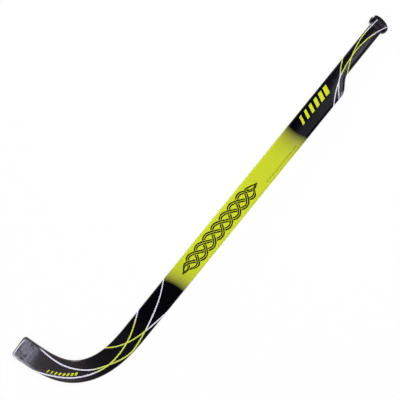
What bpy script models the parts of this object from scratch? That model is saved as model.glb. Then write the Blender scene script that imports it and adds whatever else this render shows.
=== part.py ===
"""Rink hockey goalkeeper's stick: a bent, laminated stick, lying on its back face.

The shaft runs along X with the butt at +X. The blade bends from the far end towards +Y, and the
front face looks up (+Z). Every piece is swept along one spine, the middle line of the paddle:
straight, then a bend whose curvature grows evenly, dies away evenly and stays slight at the toe.
A place on the stick is (run, side, height): run is the distance along the spine from the butt end,
side is measured square to the spine towards the inside of the bend, height is above the back face.
"""
import math

import bmesh
import bpy
import numpy as np

# Spine, in metres
SHAFT_LENGTH = 0.799        # butt end to the start of the bend
BEND_RISE = 0.174           # run over which the bend tightens
BEND_FALL = 0.085           # run over which it opens out again
TOE_RUN = 0.0365            # almost straight end of the blade
TIGHTEST_RADIUS = 0.0907
TOE_RADIUS = 0.927

# Widths and thicknesses of the finished stick
PADDLE_WIDTH = 0.0476
NECK_NARROWING = 0.0019     # how much narrower the bend is at its narrowest place
NECK_RUN = 0.120            # start of the bend to the narrowest place
TOE_WIDENING = 0.0018       # how much wider the toe is than the paddle
HANDLE_WIDTH = 0.0284
HANDLE_LENGTH = 0.132       # butt end to the foot of the shoulder
SHOULDER_LENGTH = 0.041
SHAFT_THICKNESS = 0.018
TOE_THICKNESS = 0.015
PADDLE_EDGE_RADIUS = 0.005
HANDLE_EDGE_RADIUS = 0.0065

# Knob at the butt
KNOB_LENGTH = 0.025
KNOB_CREST = 0.014          # butt end to the widest place of the knob
KNOB_INNER_RISE = 0.0071
KNOB_OUTER_RISE = 0.0072
KNOB_FRONT_RISE = 0.003
KNOB_FRONT_RUN = 0.029      # butt end to where the front starts to rise
KNOB_APEX = 0.0103          # handle's inner edge to the crown of the domed end
KNOB_EDGE_RADIUS = 0.008
BUTT_CAP_LENGTH = 0.0078
CROWN_SHARE = 0.99          # share of the dome that is round before its small flat crown

# Toe
TOE_CAP_LENGTH = 0.0078
TOE_CORNER_RADIUS = 0.0068
TOE_EDGE_RADIUS = 0.0035

# Laminate
SKIN_WALL = 0.0008
FACE_SHEET_WALL = 0.0008
CARBON_STRIP_WALL = 0.001
CORE_PLIES = 4
PADDLE_PLIES = 3
CLEARANCE = 0.0003          # glue line between neighbours
LEAST_PLY_WIDTH = 0.0012    # width at which a ply is trimmed off on the shoulder
LEAST_PAD_HEIGHT = 0.0006   # height at which the front pad of the knob feathers out

# Printed lime panel on the skin
PANEL_START = 0.293
PANEL_END = 0.689

# Fineness of the sweep
BEND_STEP = math.radians(4.0)
SHOULDER_STEPS = 8
KNOB_STEPS = 5
CORNER_STEPS = 4
DOME_STEPS = 6
SPINE_STEP = 0.0005

STICK_LENGTH = SHAFT_LENGTH + BEND_RISE + BEND_FALL + TOE_RUN
SKIN_START = BUTT_CAP_LENGTH + CLEARANCE
SKIN_END = STICK_LENGTH - TOE_CAP_LENGTH
UNDER_SKIN = SKIN_WALL + CLEARANCE
UNDER_SHEET = UNDER_SKIN + FACE_SHEET_WALL + CLEARANCE
INNER_EDGE = PADDLE_WIDTH / 2


def clear_scene():
    for old in list(bpy.data.objects):
        bpy.data.objects.remove(old, do_unlink=True)


def make_material(name, colour, roughness, metallic=0.0):
    material = bpy.data.materials.new(name)
    material.use_nodes = True
    shader = material.node_tree.nodes["Principled BSDF"]
    shader.inputs["Base Color"].default_value = (*colour, 1.0)
    shader.inputs["Roughness"].default_value = roughness
    shader.inputs["Metallic"].default_value = metallic
    material.diffuse_color = (*colour, 1.0)
    return material


def printed_black():
    return make_material("printed_black", (0.011, 0.010, 0.017), 0.28)


def printed_lime():
    return make_material("printed_lime", (0.58, 0.72, 0.012), 0.3)


def sealed_end():
    return make_material("sealed_end", (0.014, 0.014, 0.016), 0.4)


def ash_wood():
    return make_material("ash_wood", (0.62, 0.44, 0.26), 0.6)


def poplar_wood():
    return make_material("poplar_wood", (0.70, 0.55, 0.36), 0.65)


def carbon_weave():
    return make_material("carbon_weave", (0.02, 0.02, 0.022), 0.35)


def ease(share):
    """0 to 1 with no slope at either end: 3t^2 - 2t^3."""
    share = np.clip(share, 0.0, 1.0)
    return share * share * (3 - 2 * share)


def build_spine():
    """Run, x, y and heading along the spine; heading 0 points along -X and grows towards +Y."""
    steps = int(math.ceil(STICK_LENGTH / SPINE_STEP)) + 1
    run = np.linspace(0.0, STICK_LENGTH, steps)
    tightest = SHAFT_LENGTH + BEND_RISE
    opened = tightest + BEND_FALL
    curvature = np.interp(
        run,
        [SHAFT_LENGTH, tightest, opened],
        [0.0, 1 / TIGHTEST_RADIUS, 1 / TOE_RADIUS],
    )
    heading = integrate(curvature, run)
    return run, -integrate(np.cos(heading), run), integrate(np.sin(heading), run), heading


def integrate(values, run):
    """Running integral by the trapezium rule."""
    slices = 0.5 * (values[1:] + values[:-1]) * np.diff(run)
    return np.concatenate([[0.0], np.cumsum(slices)])


SPINE_RUN, SPINE_X, SPINE_Y, SPINE_HEADING = build_spine()


def place(run, points):
    """World points of a section's (side, height) points at one run."""
    heading = np.interp(run, SPINE_RUN, SPINE_HEADING)
    x = np.interp(run, SPINE_RUN, SPINE_X)
    y = np.interp(run, SPINE_RUN, SPINE_Y)
    points = np.asarray(points)
    side = points[:, 0]
    return np.column_stack([x + side * np.sin(heading), y + side * np.cos(heading), points[:, 1]])


def body_section(run):
    """Inner side, outer side, thickness and edge radius of the stick without its knob."""
    neck = SHAFT_LENGTH + NECK_RUN
    width = PADDLE_WIDTH - NECK_NARROWING * ease((run - SHAFT_LENGTH) / NECK_RUN)
    width += (NECK_NARROWING + TOE_WIDENING) * ease((run - neck) / (STICK_LENGTH - neck))
    paddle = ease((run - HANDLE_LENGTH) / SHOULDER_LENGTH)
    cut = (PADDLE_WIDTH - HANDLE_WIDTH) * (1 - paddle)
    thinning = ease((run - SHAFT_LENGTH) / (STICK_LENGTH - SHAFT_LENGTH))
    thickness = SHAFT_THICKNESS + (TOE_THICKNESS - SHAFT_THICKNESS) * thinning
    radius = HANDLE_EDGE_RADIUS + (PADDLE_EDGE_RADIUS - HANDLE_EDGE_RADIUS) * paddle
    return width / 2, -width / 2 + cut, thickness, radius


def dome(run, power):
    """Share of the knob's half size left at a run before its crest: a superellipse."""
    back = np.clip((KNOB_CREST - run) / KNOB_CREST, 0.0, CROWN_SHARE)
    return (1 - back ** power) ** (1 / power)


def knob_swell(run):
    """Share of the knob's rise over the handle behind its crest: a quarter ellipse."""
    back = np.clip((run - KNOB_CREST) / (KNOB_LENGTH - KNOB_CREST), 0.0, 1.0)
    return math.sqrt(1 - back * back)


def knob_run(step):
    """Run of one of the even steps in angle round the back of the knob."""
    return KNOB_CREST + (KNOB_LENGTH - KNOB_CREST) * math.sin(0.5 * math.pi * step / KNOB_STEPS)


def front_rise(run):
    return KNOB_FRONT_RISE * (1 - ease((run - KNOB_CREST) / (KNOB_FRONT_RUN - KNOB_CREST)))


def skin_section(run):
    """Inner side, outer side, low, high and edge radius of the finished surface."""
    inner, outer, thickness, radius = body_section(run)
    swell = knob_swell(run)
    inner += KNOB_INNER_RISE * swell
    outer -= KNOB_OUTER_RISE * swell
    high = thickness + front_rise(run)
    radius += (KNOB_EDGE_RADIUS - radius) * swell
    apex = INNER_EDGE - KNOB_APEX
    inner = apex + (inner - apex) * dome(run, 3.0)
    outer = apex + (outer - apex) * dome(run, 2.0)
    middle = high / 2
    low = middle - middle * dome(run, 4.0)
    high = middle + middle * dome(run, 4.0)
    return inner, outer, low, high, min(radius, 0.45 * (high - low), 0.45 * (inner - outer))


def rounded_ring(inner, outer, low, high, radius, inset=0.0):
    """Rounded rectangle in (side, height), shrunk evenly by the inset."""
    radius -= inset
    inner -= inset
    outer += inset
    low += inset
    high -= inset
    corners = [
        (inner - radius, high - radius, 0.0),
        (outer + radius, high - radius, 0.5 * math.pi),
        (outer + radius, low + radius, math.pi),
        (inner - radius, low + radius, 1.5 * math.pi),
    ]
    points = []
    for side, height, start in corners:
        for step in range(CORNER_STEPS + 1):
            angle = start + 0.5 * math.pi * step / CORNER_STEPS
            points.append((side + radius * math.cos(angle), height + radius * math.sin(angle)))
    return points


def master_runs():
    """Every run at which some piece changes shape, shared by all the pieces."""
    runs = [SKIN_START, KNOB_CREST, KNOB_FRONT_RUN, HANDLE_LENGTH, PANEL_START, PANEL_END]
    for step in range(KNOB_STEPS):
        runs.append(knob_run(step + 1))
    for step in range(SHOULDER_STEPS):
        runs.append(HANDLE_LENGTH + SHOULDER_LENGTH * (step + 1) / SHOULDER_STEPS)
    bend_steps = int(math.ceil(SPINE_HEADING[-1] / BEND_STEP))
    headings = np.linspace(0.0, SPINE_HEADING[-1], bend_steps + 1)
    turning = SPINE_RUN >= SHAFT_LENGTH
    for heading in headings[:-1]:
        runs.append(float(np.interp(heading, SPINE_HEADING[turning], SPINE_RUN[turning])))
    runs.append(SKIN_END)
    return sorted(set(round(run, 6) for run in runs))


MASTER_RUNS = master_runs()


def runs_between(start, end):
    """The two ends and the shared runs between them."""
    least = CLEARANCE
    inside = [run for run in MASTER_RUNS if start + least < run < end - least]
    return [start] + inside + [end]


def new_object(name, bm, materials):
    bmesh.ops.recalc_face_normals(bm, faces=bm.faces)
    mesh = bpy.data.meshes.new(name)
    bm.to_mesh(mesh)
    bm.free()
    for material in materials:
        mesh.materials.append(material)
    mesh.shade_smooth()
    mesh.set_sharp_from_angle(angle=math.radians(35))
    result = bpy.data.objects.new(name, mesh)
    bpy.context.collection.objects.link(result)
    return result


def add_rings(bm, rings):
    return [[bm.verts.new(point) for point in ring] for ring in rings]


def bridge(bm, loops):
    """Walls between neighbouring rings of the same count."""
    for here, there in zip(loops[:-1], loops[1:]):
        count = len(here)
        for step in range(count):
            ahead = (step + 1) % count
            bm.faces.new((here[step], here[ahead], there[ahead], there[step]))


def loft(name, runs, sections, material):
    """A solid through one section ring at each run, closed by its first and last ring."""
    bm = bmesh.new()
    loops = add_rings(bm, [place(run, section) for run, section in zip(runs, sections)])
    bridge(bm, loops)
    bm.faces.new(loops[0])
    bm.faces.new(loops[-1])
    return new_object(name, bm, [material])


def printed_skin(black, lime):
    """Fibre and resin sleeve round the whole stick, open where the two end caps close it."""
    runs = runs_between(SKIN_START, SKIN_END)
    bm = bmesh.new()
    outside = add_rings(bm, [place(run, rounded_ring(*skin_section(run))) for run in runs])
    inside = add_rings(
        bm, [place(run, rounded_ring(*skin_section(run), inset=SKIN_WALL)) for run in runs]
    )
    bridge(bm, outside)
    bridge(bm, inside)
    bridge(bm, [outside[0], inside[0]])
    bridge(bm, [outside[-1], inside[-1]])
    paint_panel(bm)
    return new_object("printed_skin", bm, [black, lime])


def paint_panel(bm):
    """Lime on the faces between the two ends of the panel; on the shaft a run is a length in -X."""
    for face in bm.faces:
        if PANEL_START < -face.calc_center_median().x < PANEL_END:
            face.material_index = 1


def height_limits(run, side):
    """Lowest and highest place for wood at a side, inside the skin and between the sheets."""
    inner, outer, thickness, radius = body_section(run)
    radius -= UNDER_SKIN
    from_edge = min(inner - UNDER_SKIN - side, side - outer - UNDER_SKIN)
    into_corner = np.clip(radius - from_edge, 0.0, radius)
    corner = UNDER_SKIN + radius - math.sqrt(radius * radius - into_corner * into_corner)
    low = max(UNDER_SHEET, corner)
    return low, thickness - low


def ply_section(run, near, far, shares):
    """Ring of one ply between two depths from the core's inner side.

    The depths are those of the straight paddle and shrink or grow with the stick's width.
    """
    inner, outer = body_section(run)[:2]
    core_inner = inner - UNDER_SKIN
    spread = core_inner / (INNER_EDGE - UNDER_SKIN)
    top = core_inner - near * spread
    bottom = max(core_inner - far * spread, outer + UNDER_SKIN)
    sides = [top + (bottom - top) * share for share in shares]
    limits = [height_limits(run, side) for side in sides]
    lower = [(side, low) for side, (low, high) in zip(sides, limits)]
    upper = [(side, high) for side, (low, high) in zip(sides, limits)]
    return lower + upper[::-1], top - bottom


def ply(name, near, far, shares, material):
    """A ply over every run where the stick is wide enough to hold it."""
    runs = runs_between(SKIN_START, SKIN_END)
    spare = min(LEAST_PLY_WIDTH, 0.8 * (far - near))
    kept = [run for run in runs if ply_section(run, near, far, shares)[1] > spare]
    sections = [ply_section(run, near, far, shares)[0] for run in kept]
    return loft(name, kept, sections, material)


FLAT_SIDES = (0.0, 1.0)
ROUND_FIRST = (0.0, 0.04, 0.16, 0.36, 0.66, 1.0)
ROUND_LAST = tuple(1.0 - share for share in ROUND_FIRST[::-1])


def core_plies(wood_finish, carbon_finish):
    """Full-length plies that make the handle, with a carbon strip in their middle."""
    strip_after = CORE_PLIES // 2
    handle_core = HANDLE_WIDTH - 2 * UNDER_SKIN
    wood = handle_core - CARBON_STRIP_WALL - CORE_PLIES * CLEARANCE
    width = wood / CORE_PLIES
    depth = 0.0
    for count in range(1, CORE_PLIES + 1):
        shares = FLAT_SIDES
        if count == 1:
            shares = ROUND_FIRST
        if count == CORE_PLIES:
            shares = ROUND_LAST
        ply(f"core_ply_{count}", depth, depth + width, shares, wood_finish)
        depth += width + CLEARANCE
        if count == strip_after:
            ply("carbon_strip_core", depth, depth + CARBON_STRIP_WALL, FLAT_SIDES, carbon_finish)
            depth += CARBON_STRIP_WALL + CLEARANCE


def paddle_plies(wood_finish, carbon_finish):
    """Plies that widen the paddle on the outer side and are cut off along the shoulder."""
    start = HANDLE_WIDTH - 2 * UNDER_SKIN + CLEARANCE
    end = PADDLE_WIDTH - 2 * UNDER_SKIN
    ply("carbon_strip_paddle", start, start + CARBON_STRIP_WALL, FLAT_SIDES, carbon_finish)
    depth = start + CARBON_STRIP_WALL + CLEARANCE
    width = (end - depth - (PADDLE_PLIES - 1) * CLEARANCE) / PADDLE_PLIES
    for count in range(1, PADDLE_PLIES + 1):
        shares = FLAT_SIDES
        if count == PADDLE_PLIES:
            shares = ROUND_LAST
        ply(f"paddle_ply_{count}", depth, depth + width, shares, wood_finish)
        depth += width + CLEARANCE


def face_sheets(finish):
    """Carbon sheets under the skin on the flat of both faces."""
    runs = runs_between(SKIN_START, SKIN_END)
    back = []
    front = []
    for run in runs:
        inner, outer, thickness, radius = body_section(run)
        low = UNDER_SKIN
        high = UNDER_SKIN + FACE_SHEET_WALL
        sides = (inner - radius, outer + radius)
        back.append([(sides[0], low), (sides[1], low), (sides[1], high), (sides[0], high)])
        front.append([(side, thickness - height) for side, height in back[-1]])
    loft("carbon_sheet_back", runs, back, finish)
    loft("carbon_sheet_front", runs, front, finish)


def block_section(run, side_sign):
    """Knob block between the handle's plies and the skin: the skin's ring, cut off at the seat."""
    inner, outer, low, high, radius = skin_section(run)
    body_inner, body_outer = body_section(run)[:2]
    radius -= UNDER_SKIN
    reach = (inner if side_sign > 0 else -outer) - UNDER_SKIN
    seat = (body_inner if side_sign > 0 else -body_outer) - SKIN_WALL
    centre = reach - radius
    start = 0.5 * math.pi
    drop = 0.0
    if seat > centre:
        start = math.acos((seat - centre) / radius)
        drop = radius - radius * math.sin(start)
        start *= CORNER_STEPS / (CORNER_STEPS + 1)
    arc = []
    for step in range(CORNER_STEPS + 1):
        angle = start - start * step / CORNER_STEPS
        arc.append((centre + radius * math.cos(angle), radius - radius * math.sin(angle)))
    half = [(seat, drop)] + arc
    lower = [(side_sign * side, low + UNDER_SKIN + height) for side, height in half]
    upper = [(side_sign * side, high - UNDER_SKIN - height) for side, height in half]
    return lower + upper[::-1]


def knob_blocks(finish):
    """Wood blocks glued to the handle's two edges."""
    runs = runs_between(SKIN_START, knob_run(KNOB_STEPS - 1))
    loft("knob_block_inner", runs, [block_section(run, 1) for run in runs], finish)
    loft("knob_block_outer", runs, [block_section(run, -1) for run in runs], finish)


def pad_section(run):
    """Crown strip between the front sheet and the skin, its top edges on the handle's curve."""
    inner, outer, thickness, radius = body_section(run)
    radius -= UNDER_SKIN
    seat = thickness - SKIN_WALL
    top = thickness + front_rise(run) - UNDER_SKIN
    centre_height = top - radius
    start = math.asin((seat - centre_height) / radius)
    points = []
    for step in range(CORNER_STEPS + 1):
        angle = start + (0.5 * math.pi - start) * step / CORNER_STEPS
        side = inner - UNDER_SKIN - radius + radius * math.cos(angle)
        points.append((side, centre_height + radius * math.sin(angle)))
    for step in range(CORNER_STEPS + 1):
        angle = 0.5 * math.pi - (0.5 * math.pi - start) * step / CORNER_STEPS
        side = outer + UNDER_SKIN + radius - radius * math.cos(angle)
        points.append((side, centre_height + radius * math.sin(angle)))
    return points


def knob_pad(finish):
    """Thin wedge that lifts the knob's front, tapered out towards the handle."""
    trial = np.linspace(KNOB_CREST, KNOB_FRONT_RUN, 200)
    heights = np.array([front_rise(run) - CLEARANCE for run in trial])
    end = float(trial[heights > LEAST_PAD_HEIGHT][-1])
    runs = runs_between(SKIN_START, end)
    loft("knob_pad_front", runs, [pad_section(run) for run in runs], finish)


def butt_cap(finish):
    """Domed plain end of the knob."""
    runs = []
    for step in range(DOME_STEPS + 1):
        back = 1 - BUTT_CAP_LENGTH / KNOB_CREST
        back += (CROWN_SHARE - back) * ease(step / DOME_STEPS) ** 0.6
        runs.append(KNOB_CREST * (1 - back))
    runs[-1] = 0.0
    loft("butt_cap", runs, [rounded_ring(*skin_section(run)) for run in runs], finish)


def toe_section(run):
    """Blade section drawn in along the rounded corners and edges of the toe's end."""
    inner, outer, low, high, radius = skin_section(run)
    corner_in = quarter_round(run, TOE_CORNER_RADIUS)
    edge_in = quarter_round(run, TOE_EDGE_RADIUS)
    radius = max(radius - edge_in, 0.3 * radius)
    return rounded_ring(inner - corner_in, outer + corner_in, low + edge_in, high - edge_in, radius)


def quarter_round(run, radius):
    """How far a rounded edge of this radius has drawn in at a run near the toe's end."""
    along = max(run - (STICK_LENGTH - radius), 0.0)
    return radius - math.sqrt(max(radius * radius - along * along, 0.0))


def toe_cap(finish):
    """Sealed end of the blade."""
    start = SKIN_END + CLEARANCE
    length = STICK_LENGTH - start
    quarter = 0.5 * math.pi
    runs = [start + length * math.sin(quarter * step / DOME_STEPS) for step in range(DOME_STEPS + 1)]
    loft("toe_cap", runs, [toe_section(run) for run in runs], finish)


def centre_on_origin():
    """Put the middle of the stick's outline over the origin, its back face on the ground."""
    pieces = [piece for piece in bpy.data.objects if piece.type == "MESH"]
    corners = np.array([vertex.co[:] for piece in pieces for vertex in piece.data.vertices])
    middle = 0.5 * (corners.min(axis=0) + corners.max(axis=0))
    frame = bpy.data.objects.new("stick_frame", None)
    bpy.context.collection.objects.link(frame)
    frame.location = (-middle[0], -middle[1], 0.0)
    for piece in pieces:
        piece.parent = frame


def build():
    clear_scene()
    black = printed_black()
    carbon = carbon_weave()
    poplar = poplar_wood()
    printed_skin(black, printed_lime())
    core_plies(ash_wood(), carbon)
    paddle_plies(poplar, carbon)
    face_sheets(carbon)
    knob_blocks(poplar)
    knob_pad(poplar)
    butt_cap(sealed_end())
    toe_cap(black)
    centre_on_origin()


build()
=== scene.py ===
# %% [markdown]
# # A rink hockey goalkeeper's stick
#
# The real stick is a bent laminate: long plies of ash and poplar, with strips and sheets of carbon
# fibre between them, glued side by side, bent at the blade, wrapped in fibre and resin, and
# finished with a glossy printed film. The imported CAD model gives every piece's place. This script
# dresses it: it sweeps finer surfaces along the same line and prints the film's pattern on them.

# %% Load the frame
import math

import bpy
import numpy as np
from mathutils import Matrix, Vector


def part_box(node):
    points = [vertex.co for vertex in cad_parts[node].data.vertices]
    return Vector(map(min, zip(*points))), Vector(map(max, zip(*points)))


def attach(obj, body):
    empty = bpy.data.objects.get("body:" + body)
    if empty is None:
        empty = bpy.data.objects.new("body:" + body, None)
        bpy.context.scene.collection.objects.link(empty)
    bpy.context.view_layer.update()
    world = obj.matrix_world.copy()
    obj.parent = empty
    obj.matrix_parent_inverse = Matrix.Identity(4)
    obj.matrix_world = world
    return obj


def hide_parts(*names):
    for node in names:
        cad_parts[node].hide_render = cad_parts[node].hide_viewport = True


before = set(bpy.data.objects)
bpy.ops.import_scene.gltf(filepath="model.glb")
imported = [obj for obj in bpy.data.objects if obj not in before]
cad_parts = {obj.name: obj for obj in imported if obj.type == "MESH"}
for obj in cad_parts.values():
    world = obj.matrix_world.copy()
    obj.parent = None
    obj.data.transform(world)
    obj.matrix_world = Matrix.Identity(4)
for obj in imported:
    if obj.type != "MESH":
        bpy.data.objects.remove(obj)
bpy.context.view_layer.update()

# %% [markdown]
# ## The line that everything follows
#
# Every layer of the stick follows one bent line, the spine: the middle of the wide paddle. A place
# on the stick is told by its run (along the spine from the butt end), its side (square to the
# spine, towards the inside of the bend) and its height over the back face. The spine could be a
# curve object with a bevel, but the widths, edges and print change along it, so it is worked out
# as arrays: the curvature is given, its running sum is the heading, and the running sums
# of the heading's cosine and sine are the places. The sizes are the CAD's own, in metres.

# %% Spine
SHAFT_LENGTH = 0.799
BEND_RISE = 0.174
BEND_FALL = 0.085
TOE_RUN = 0.0365
TIGHTEST_RADIUS = 0.0907
TOE_RADIUS = 0.927
PADDLE_WIDTH = 0.0476
SPINE_STEP = 0.0005
STICK_LENGTH = SHAFT_LENGTH + BEND_RISE + BEND_FALL + TOE_RUN

BUTT_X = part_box("butt_cap")[1].x
SPINE_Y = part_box("printed_skin")[0].y + PADDLE_WIDTH / 2


def running_sum(values, run):
    """Running integral by the trapezium rule: slices of mean height times width, added up."""
    slices = 0.5 * (values[1:] + values[:-1]) * np.diff(run)
    return np.concatenate([[0.0], np.cumsum(slices)])


def build_spine():
    """Run, x, y and heading. Heading 0 points along -X and grows towards +Y."""
    run = np.linspace(0.0, STICK_LENGTH, int(math.ceil(STICK_LENGTH / SPINE_STEP)) + 1)
    tightest = SHAFT_LENGTH + BEND_RISE
    knots = [SHAFT_LENGTH, tightest, tightest + BEND_FALL]
    curvature = np.interp(run, knots, [0.0, 1 / TIGHTEST_RADIUS, 1 / TOE_RADIUS])
    heading = running_sum(curvature, run)
    x = BUTT_X - running_sum(np.cos(heading), run)
    y = SPINE_Y + running_sum(np.sin(heading), run)
    return run, x, y, heading


SPINE_RUN, SPINE_X, SPINE_Y_LINE, SPINE_HEADING = build_spine()


def place(run, side, height):
    """World points: the spine's point at the run, plus side along its inward normal, and height."""
    run = np.broadcast_to(run, side.shape)
    heading = np.interp(run, SPINE_RUN, SPINE_HEADING)
    x = np.interp(run, SPINE_RUN, SPINE_X) + side * np.sin(heading)
    y = np.interp(run, SPINE_RUN, SPINE_Y_LINE) + side * np.cos(heading)
    return np.stack([x, y, np.broadcast_to(height, side.shape)], axis=-1)


print("stick along its spine, mm:", round(1000 * STICK_LENGTH, 1))
print("blade turned by, degrees:", round(math.degrees(SPINE_HEADING[-1]), 1))

# %% [markdown]
# ## The section
#
# Cut across, the stick is a rounded rectangle: wide on the paddle, narrow on the handle, thinner
# towards the toe, and swollen and domed at the knob. The section is a function of the run alone,
# so whole arrays of runs give whole arrays of widths. Lofting drawn sections would need dozens of
# them, and formulas need only the sizes below.

# %% Section sizes
NECK_NARROWING = 0.0019
NECK_RUN = 0.120
TOE_WIDENING = 0.0018
HANDLE_WIDTH = 0.0284
HANDLE_LENGTH = 0.132
SHOULDER_LENGTH = 0.041
SHAFT_THICKNESS = 0.018
TOE_THICKNESS = 0.015
PADDLE_EDGE_RADIUS = 0.005
HANDLE_EDGE_RADIUS = 0.0065
KNOB_LENGTH = 0.025
KNOB_CREST = 0.014
KNOB_INNER_RISE = 0.0071
KNOB_OUTER_RISE = 0.0072
KNOB_FRONT_RISE = 0.003
KNOB_FRONT_RUN = 0.029
KNOB_APEX = 0.0103
KNOB_EDGE_RADIUS = 0.008
KNOB_INNER_POWER = 3.0
KNOB_OUTER_POWER = 2.0
KNOB_FACE_POWER = 4.0
ROUNDEST = 0.45
BUTT_CAP_LENGTH = 0.0078
TOE_CAP_LENGTH = 0.0078
TOE_CORNER_RADIUS = 0.0068
TOE_EDGE_RADIUS = 0.0035
SKIN_WALL = 0.0008
FACE_SHEET_WALL = 0.0008
CARBON_STRIP_WALL = 0.001
CORE_PLIES = 4
PADDLE_PLIES = 3
CLEARANCE = 0.0003
SKIN_END = STICK_LENGTH - TOE_CAP_LENGTH
UNDER_SKIN = SKIN_WALL + CLEARANCE
UNDER_SHEET = UNDER_SKIN + FACE_SHEET_WALL + CLEARANCE
INNER_EDGE = PADDLE_WIDTH / 2


def ease(share):
    """0 to 1 with no slope at either end: 3t^2 - 2t^3."""
    share = np.clip(share, 0.0, 1.0)
    return share * share * (3 - 2 * share)


def body_section(run):
    """Inner side, outer side, thickness and edge radius of the stick without its knob."""
    neck = SHAFT_LENGTH + NECK_RUN
    width = PADDLE_WIDTH - NECK_NARROWING * ease((run - SHAFT_LENGTH) / NECK_RUN)
    width = width + (NECK_NARROWING + TOE_WIDENING) * ease((run - neck) / (STICK_LENGTH - neck))
    paddle = ease((run - HANDLE_LENGTH) / SHOULDER_LENGTH)
    cut = (PADDLE_WIDTH - HANDLE_WIDTH) * (1 - paddle)
    thinning = ease((run - SHAFT_LENGTH) / (STICK_LENGTH - SHAFT_LENGTH))
    thickness = SHAFT_THICKNESS + (TOE_THICKNESS - SHAFT_THICKNESS) * thinning
    radius = HANDLE_EDGE_RADIUS + (PADDLE_EDGE_RADIUS - HANDLE_EDGE_RADIUS) * paddle
    return width / 2, -width / 2 + cut, thickness, radius


def dome(run, power):
    """Share of the knob's half size left before its crest: a superellipse."""
    back = np.clip((KNOB_CREST - run) / KNOB_CREST, 0.0, 1.0)
    return (1 - back ** power) ** (1 / power)


def knob_swell(run):
    """Share of the knob's rise over the handle behind its crest: a quarter ellipse."""
    back = np.clip((run - KNOB_CREST) / (KNOB_LENGTH - KNOB_CREST), 0.0, 1.0)
    return np.sqrt(1 - back * back)


def front_rise(run):
    """Rise of the knob's front: the full rise at the crest, eased out towards the handle."""
    return KNOB_FRONT_RISE * (1 - ease((run - KNOB_CREST) / (KNOB_FRONT_RUN - KNOB_CREST)))


def skin_section(run):
    """Inner side, outer side, low, high and edge radius of the finished surface."""
    inner, outer, thickness, radius = body_section(run)
    swell = knob_swell(run)
    radius = radius + (KNOB_EDGE_RADIUS - radius) * swell
    apex = INNER_EDGE - KNOB_APEX
    inner = apex + (inner + KNOB_INNER_RISE * swell - apex) * dome(run, KNOB_INNER_POWER)
    outer = apex + (outer - KNOB_OUTER_RISE * swell - apex) * dome(run, KNOB_OUTER_POWER)
    middle = (thickness + front_rise(run)) / 2
    low = middle - middle * dome(run, KNOB_FACE_POWER)
    high = middle + middle * dome(run, KNOB_FACE_POWER)
    radius = np.minimum(radius, ROUNDEST * np.minimum(high - low, inner - outer))
    return inner, outer, low, high, radius


print("knob across, mm:", round(1000 * float(np.subtract(*skin_section(KNOB_CREST)[:2])), 1))

# %% [markdown]
# ## Rings round the section
#
# A rounded rectangle is four corner arcs joined by flats. Each place round it is written once as
# four numbers: how far across it sits between the corner centres, how high, and the two parts of
# the direction in which the edge radius points. Multiplied by a section's sizes they give the
# ring, so one table serves every run, and a whole skin is one array of runs by places.

# %% Ring table
def ring_table(flat, corner, wall):
    """Places round a section, from the middle of the back towards the inner side and round."""
    half = flat // 2

    def straight(across, high, direction):
        """Places on a flat, where the radius points one way all along."""
        across, high = np.broadcast_arrays(across, high)
        return np.column_stack([across, high, np.tile(direction, (len(across), 1))])

    def arc(across, high, start):
        """Places on a corner: the cosine and sine of a quarter turn from the start."""
        angle = np.radians(start + 90 * np.arange(corner) / corner)
        table = [np.full(corner, across), np.full(corner, high), np.cos(angle), np.sin(angle)]
        return np.column_stack(table)

    share = np.arange(flat) / flat
    up = np.arange(wall) / wall
    return np.vstack([
        straight(0.5 + share[:half], 0.0, (0.0, -1.0)),
        arc(1.0, 0.0, -90),
        straight(1.0, up, (1.0, 0.0)),
        arc(1.0, 1.0, 0),
        straight(1.0 - share, 1.0, (0.0, 1.0)),
        arc(0.0, 1.0, 90),
        straight(0.0, 1.0 - up, (-1.0, 0.0)),
        arc(0.0, 0.0, 180),
        straight(share[:half], 0.0, (0.0, -1.0)),
    ])


def upright(section):
    """A section's sizes as columns, which spread over the places of a ring."""
    return [np.atleast_1d(size)[:, None] for size in section]


def rings(section, table, inset=0.0):
    """Side and height, runs by places: corner centres blended, plus radius times direction."""
    inner, outer, low, high, radius = upright(section)
    across, up, side_part, height_part = table.T
    side = (outer + radius) * (1 - across) + (inner - radius) * across
    height = (low + radius) * (1 - up) + (high - radius) * up
    radius = radius - inset
    return side + radius * side_part, height + radius * height_part


FILM_TABLE = ring_table(flat=28, corner=9, wall=7)
print("places round the film:", len(FILM_TABLE))

# %% [markdown]
# ## Hand-made unevenness
#
# A gloss finish never lies on a perfect plane. Sanding crowns the faces, so they fall away by a few
# tenths of a millimetre towards their edges. Long, shallow waves telegraph the plies, and the
# dipped toe has ripples of resin a few millimetres across and a raised lip. A displacement texture
# could draw all this. Sums of a few sine waves in different directions do it in the mesh itself,
# with no repeat that the eye finds.

# %% Waves
LONG_WAVES = ([0.060, 0.043, 0.090, 0.031], [8, -14, 3, 40], 5)
RIPPLES = ([0.0132, 0.0105, 0.0171, 0.0088, 0.0230], [15, 70, -40, -75, 35], 11)
WAVE_DEPTH = 0.00005
RESIN_DEPTH = 0.00016
HANDLE_CROWN = 0.00035
PADDLE_CROWN = 0.00045
BEAD_RUN = 0.0046
BEAD_SPREAD = 0.0011
BEAD_DEPTH = 0.00016
DIP_START = 1.050
DIP_SPREAD = 0.012
LAG = 0.026
LAG_SIDE = 0.013
LAG_SPREAD = 0.008
LEAST_SIZE = 0.001


def waves(run, side, lengths, turns, seed):
    """Mean of sine waves of the given lengths, turned over the face by these angles, -1 to 1."""
    phases = np.random.default_rng(seed).uniform(0, 2 * math.pi, len(lengths))
    total = np.zeros(np.broadcast(run, side).shape)
    for length, turn, phase in zip(lengths, turns, phases):
        along = run * math.cos(math.radians(turn)) + side * math.sin(math.radians(turn))
        total = total + np.sin(2 * math.pi * along / length + phase)
    return total / len(lengths)


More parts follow.
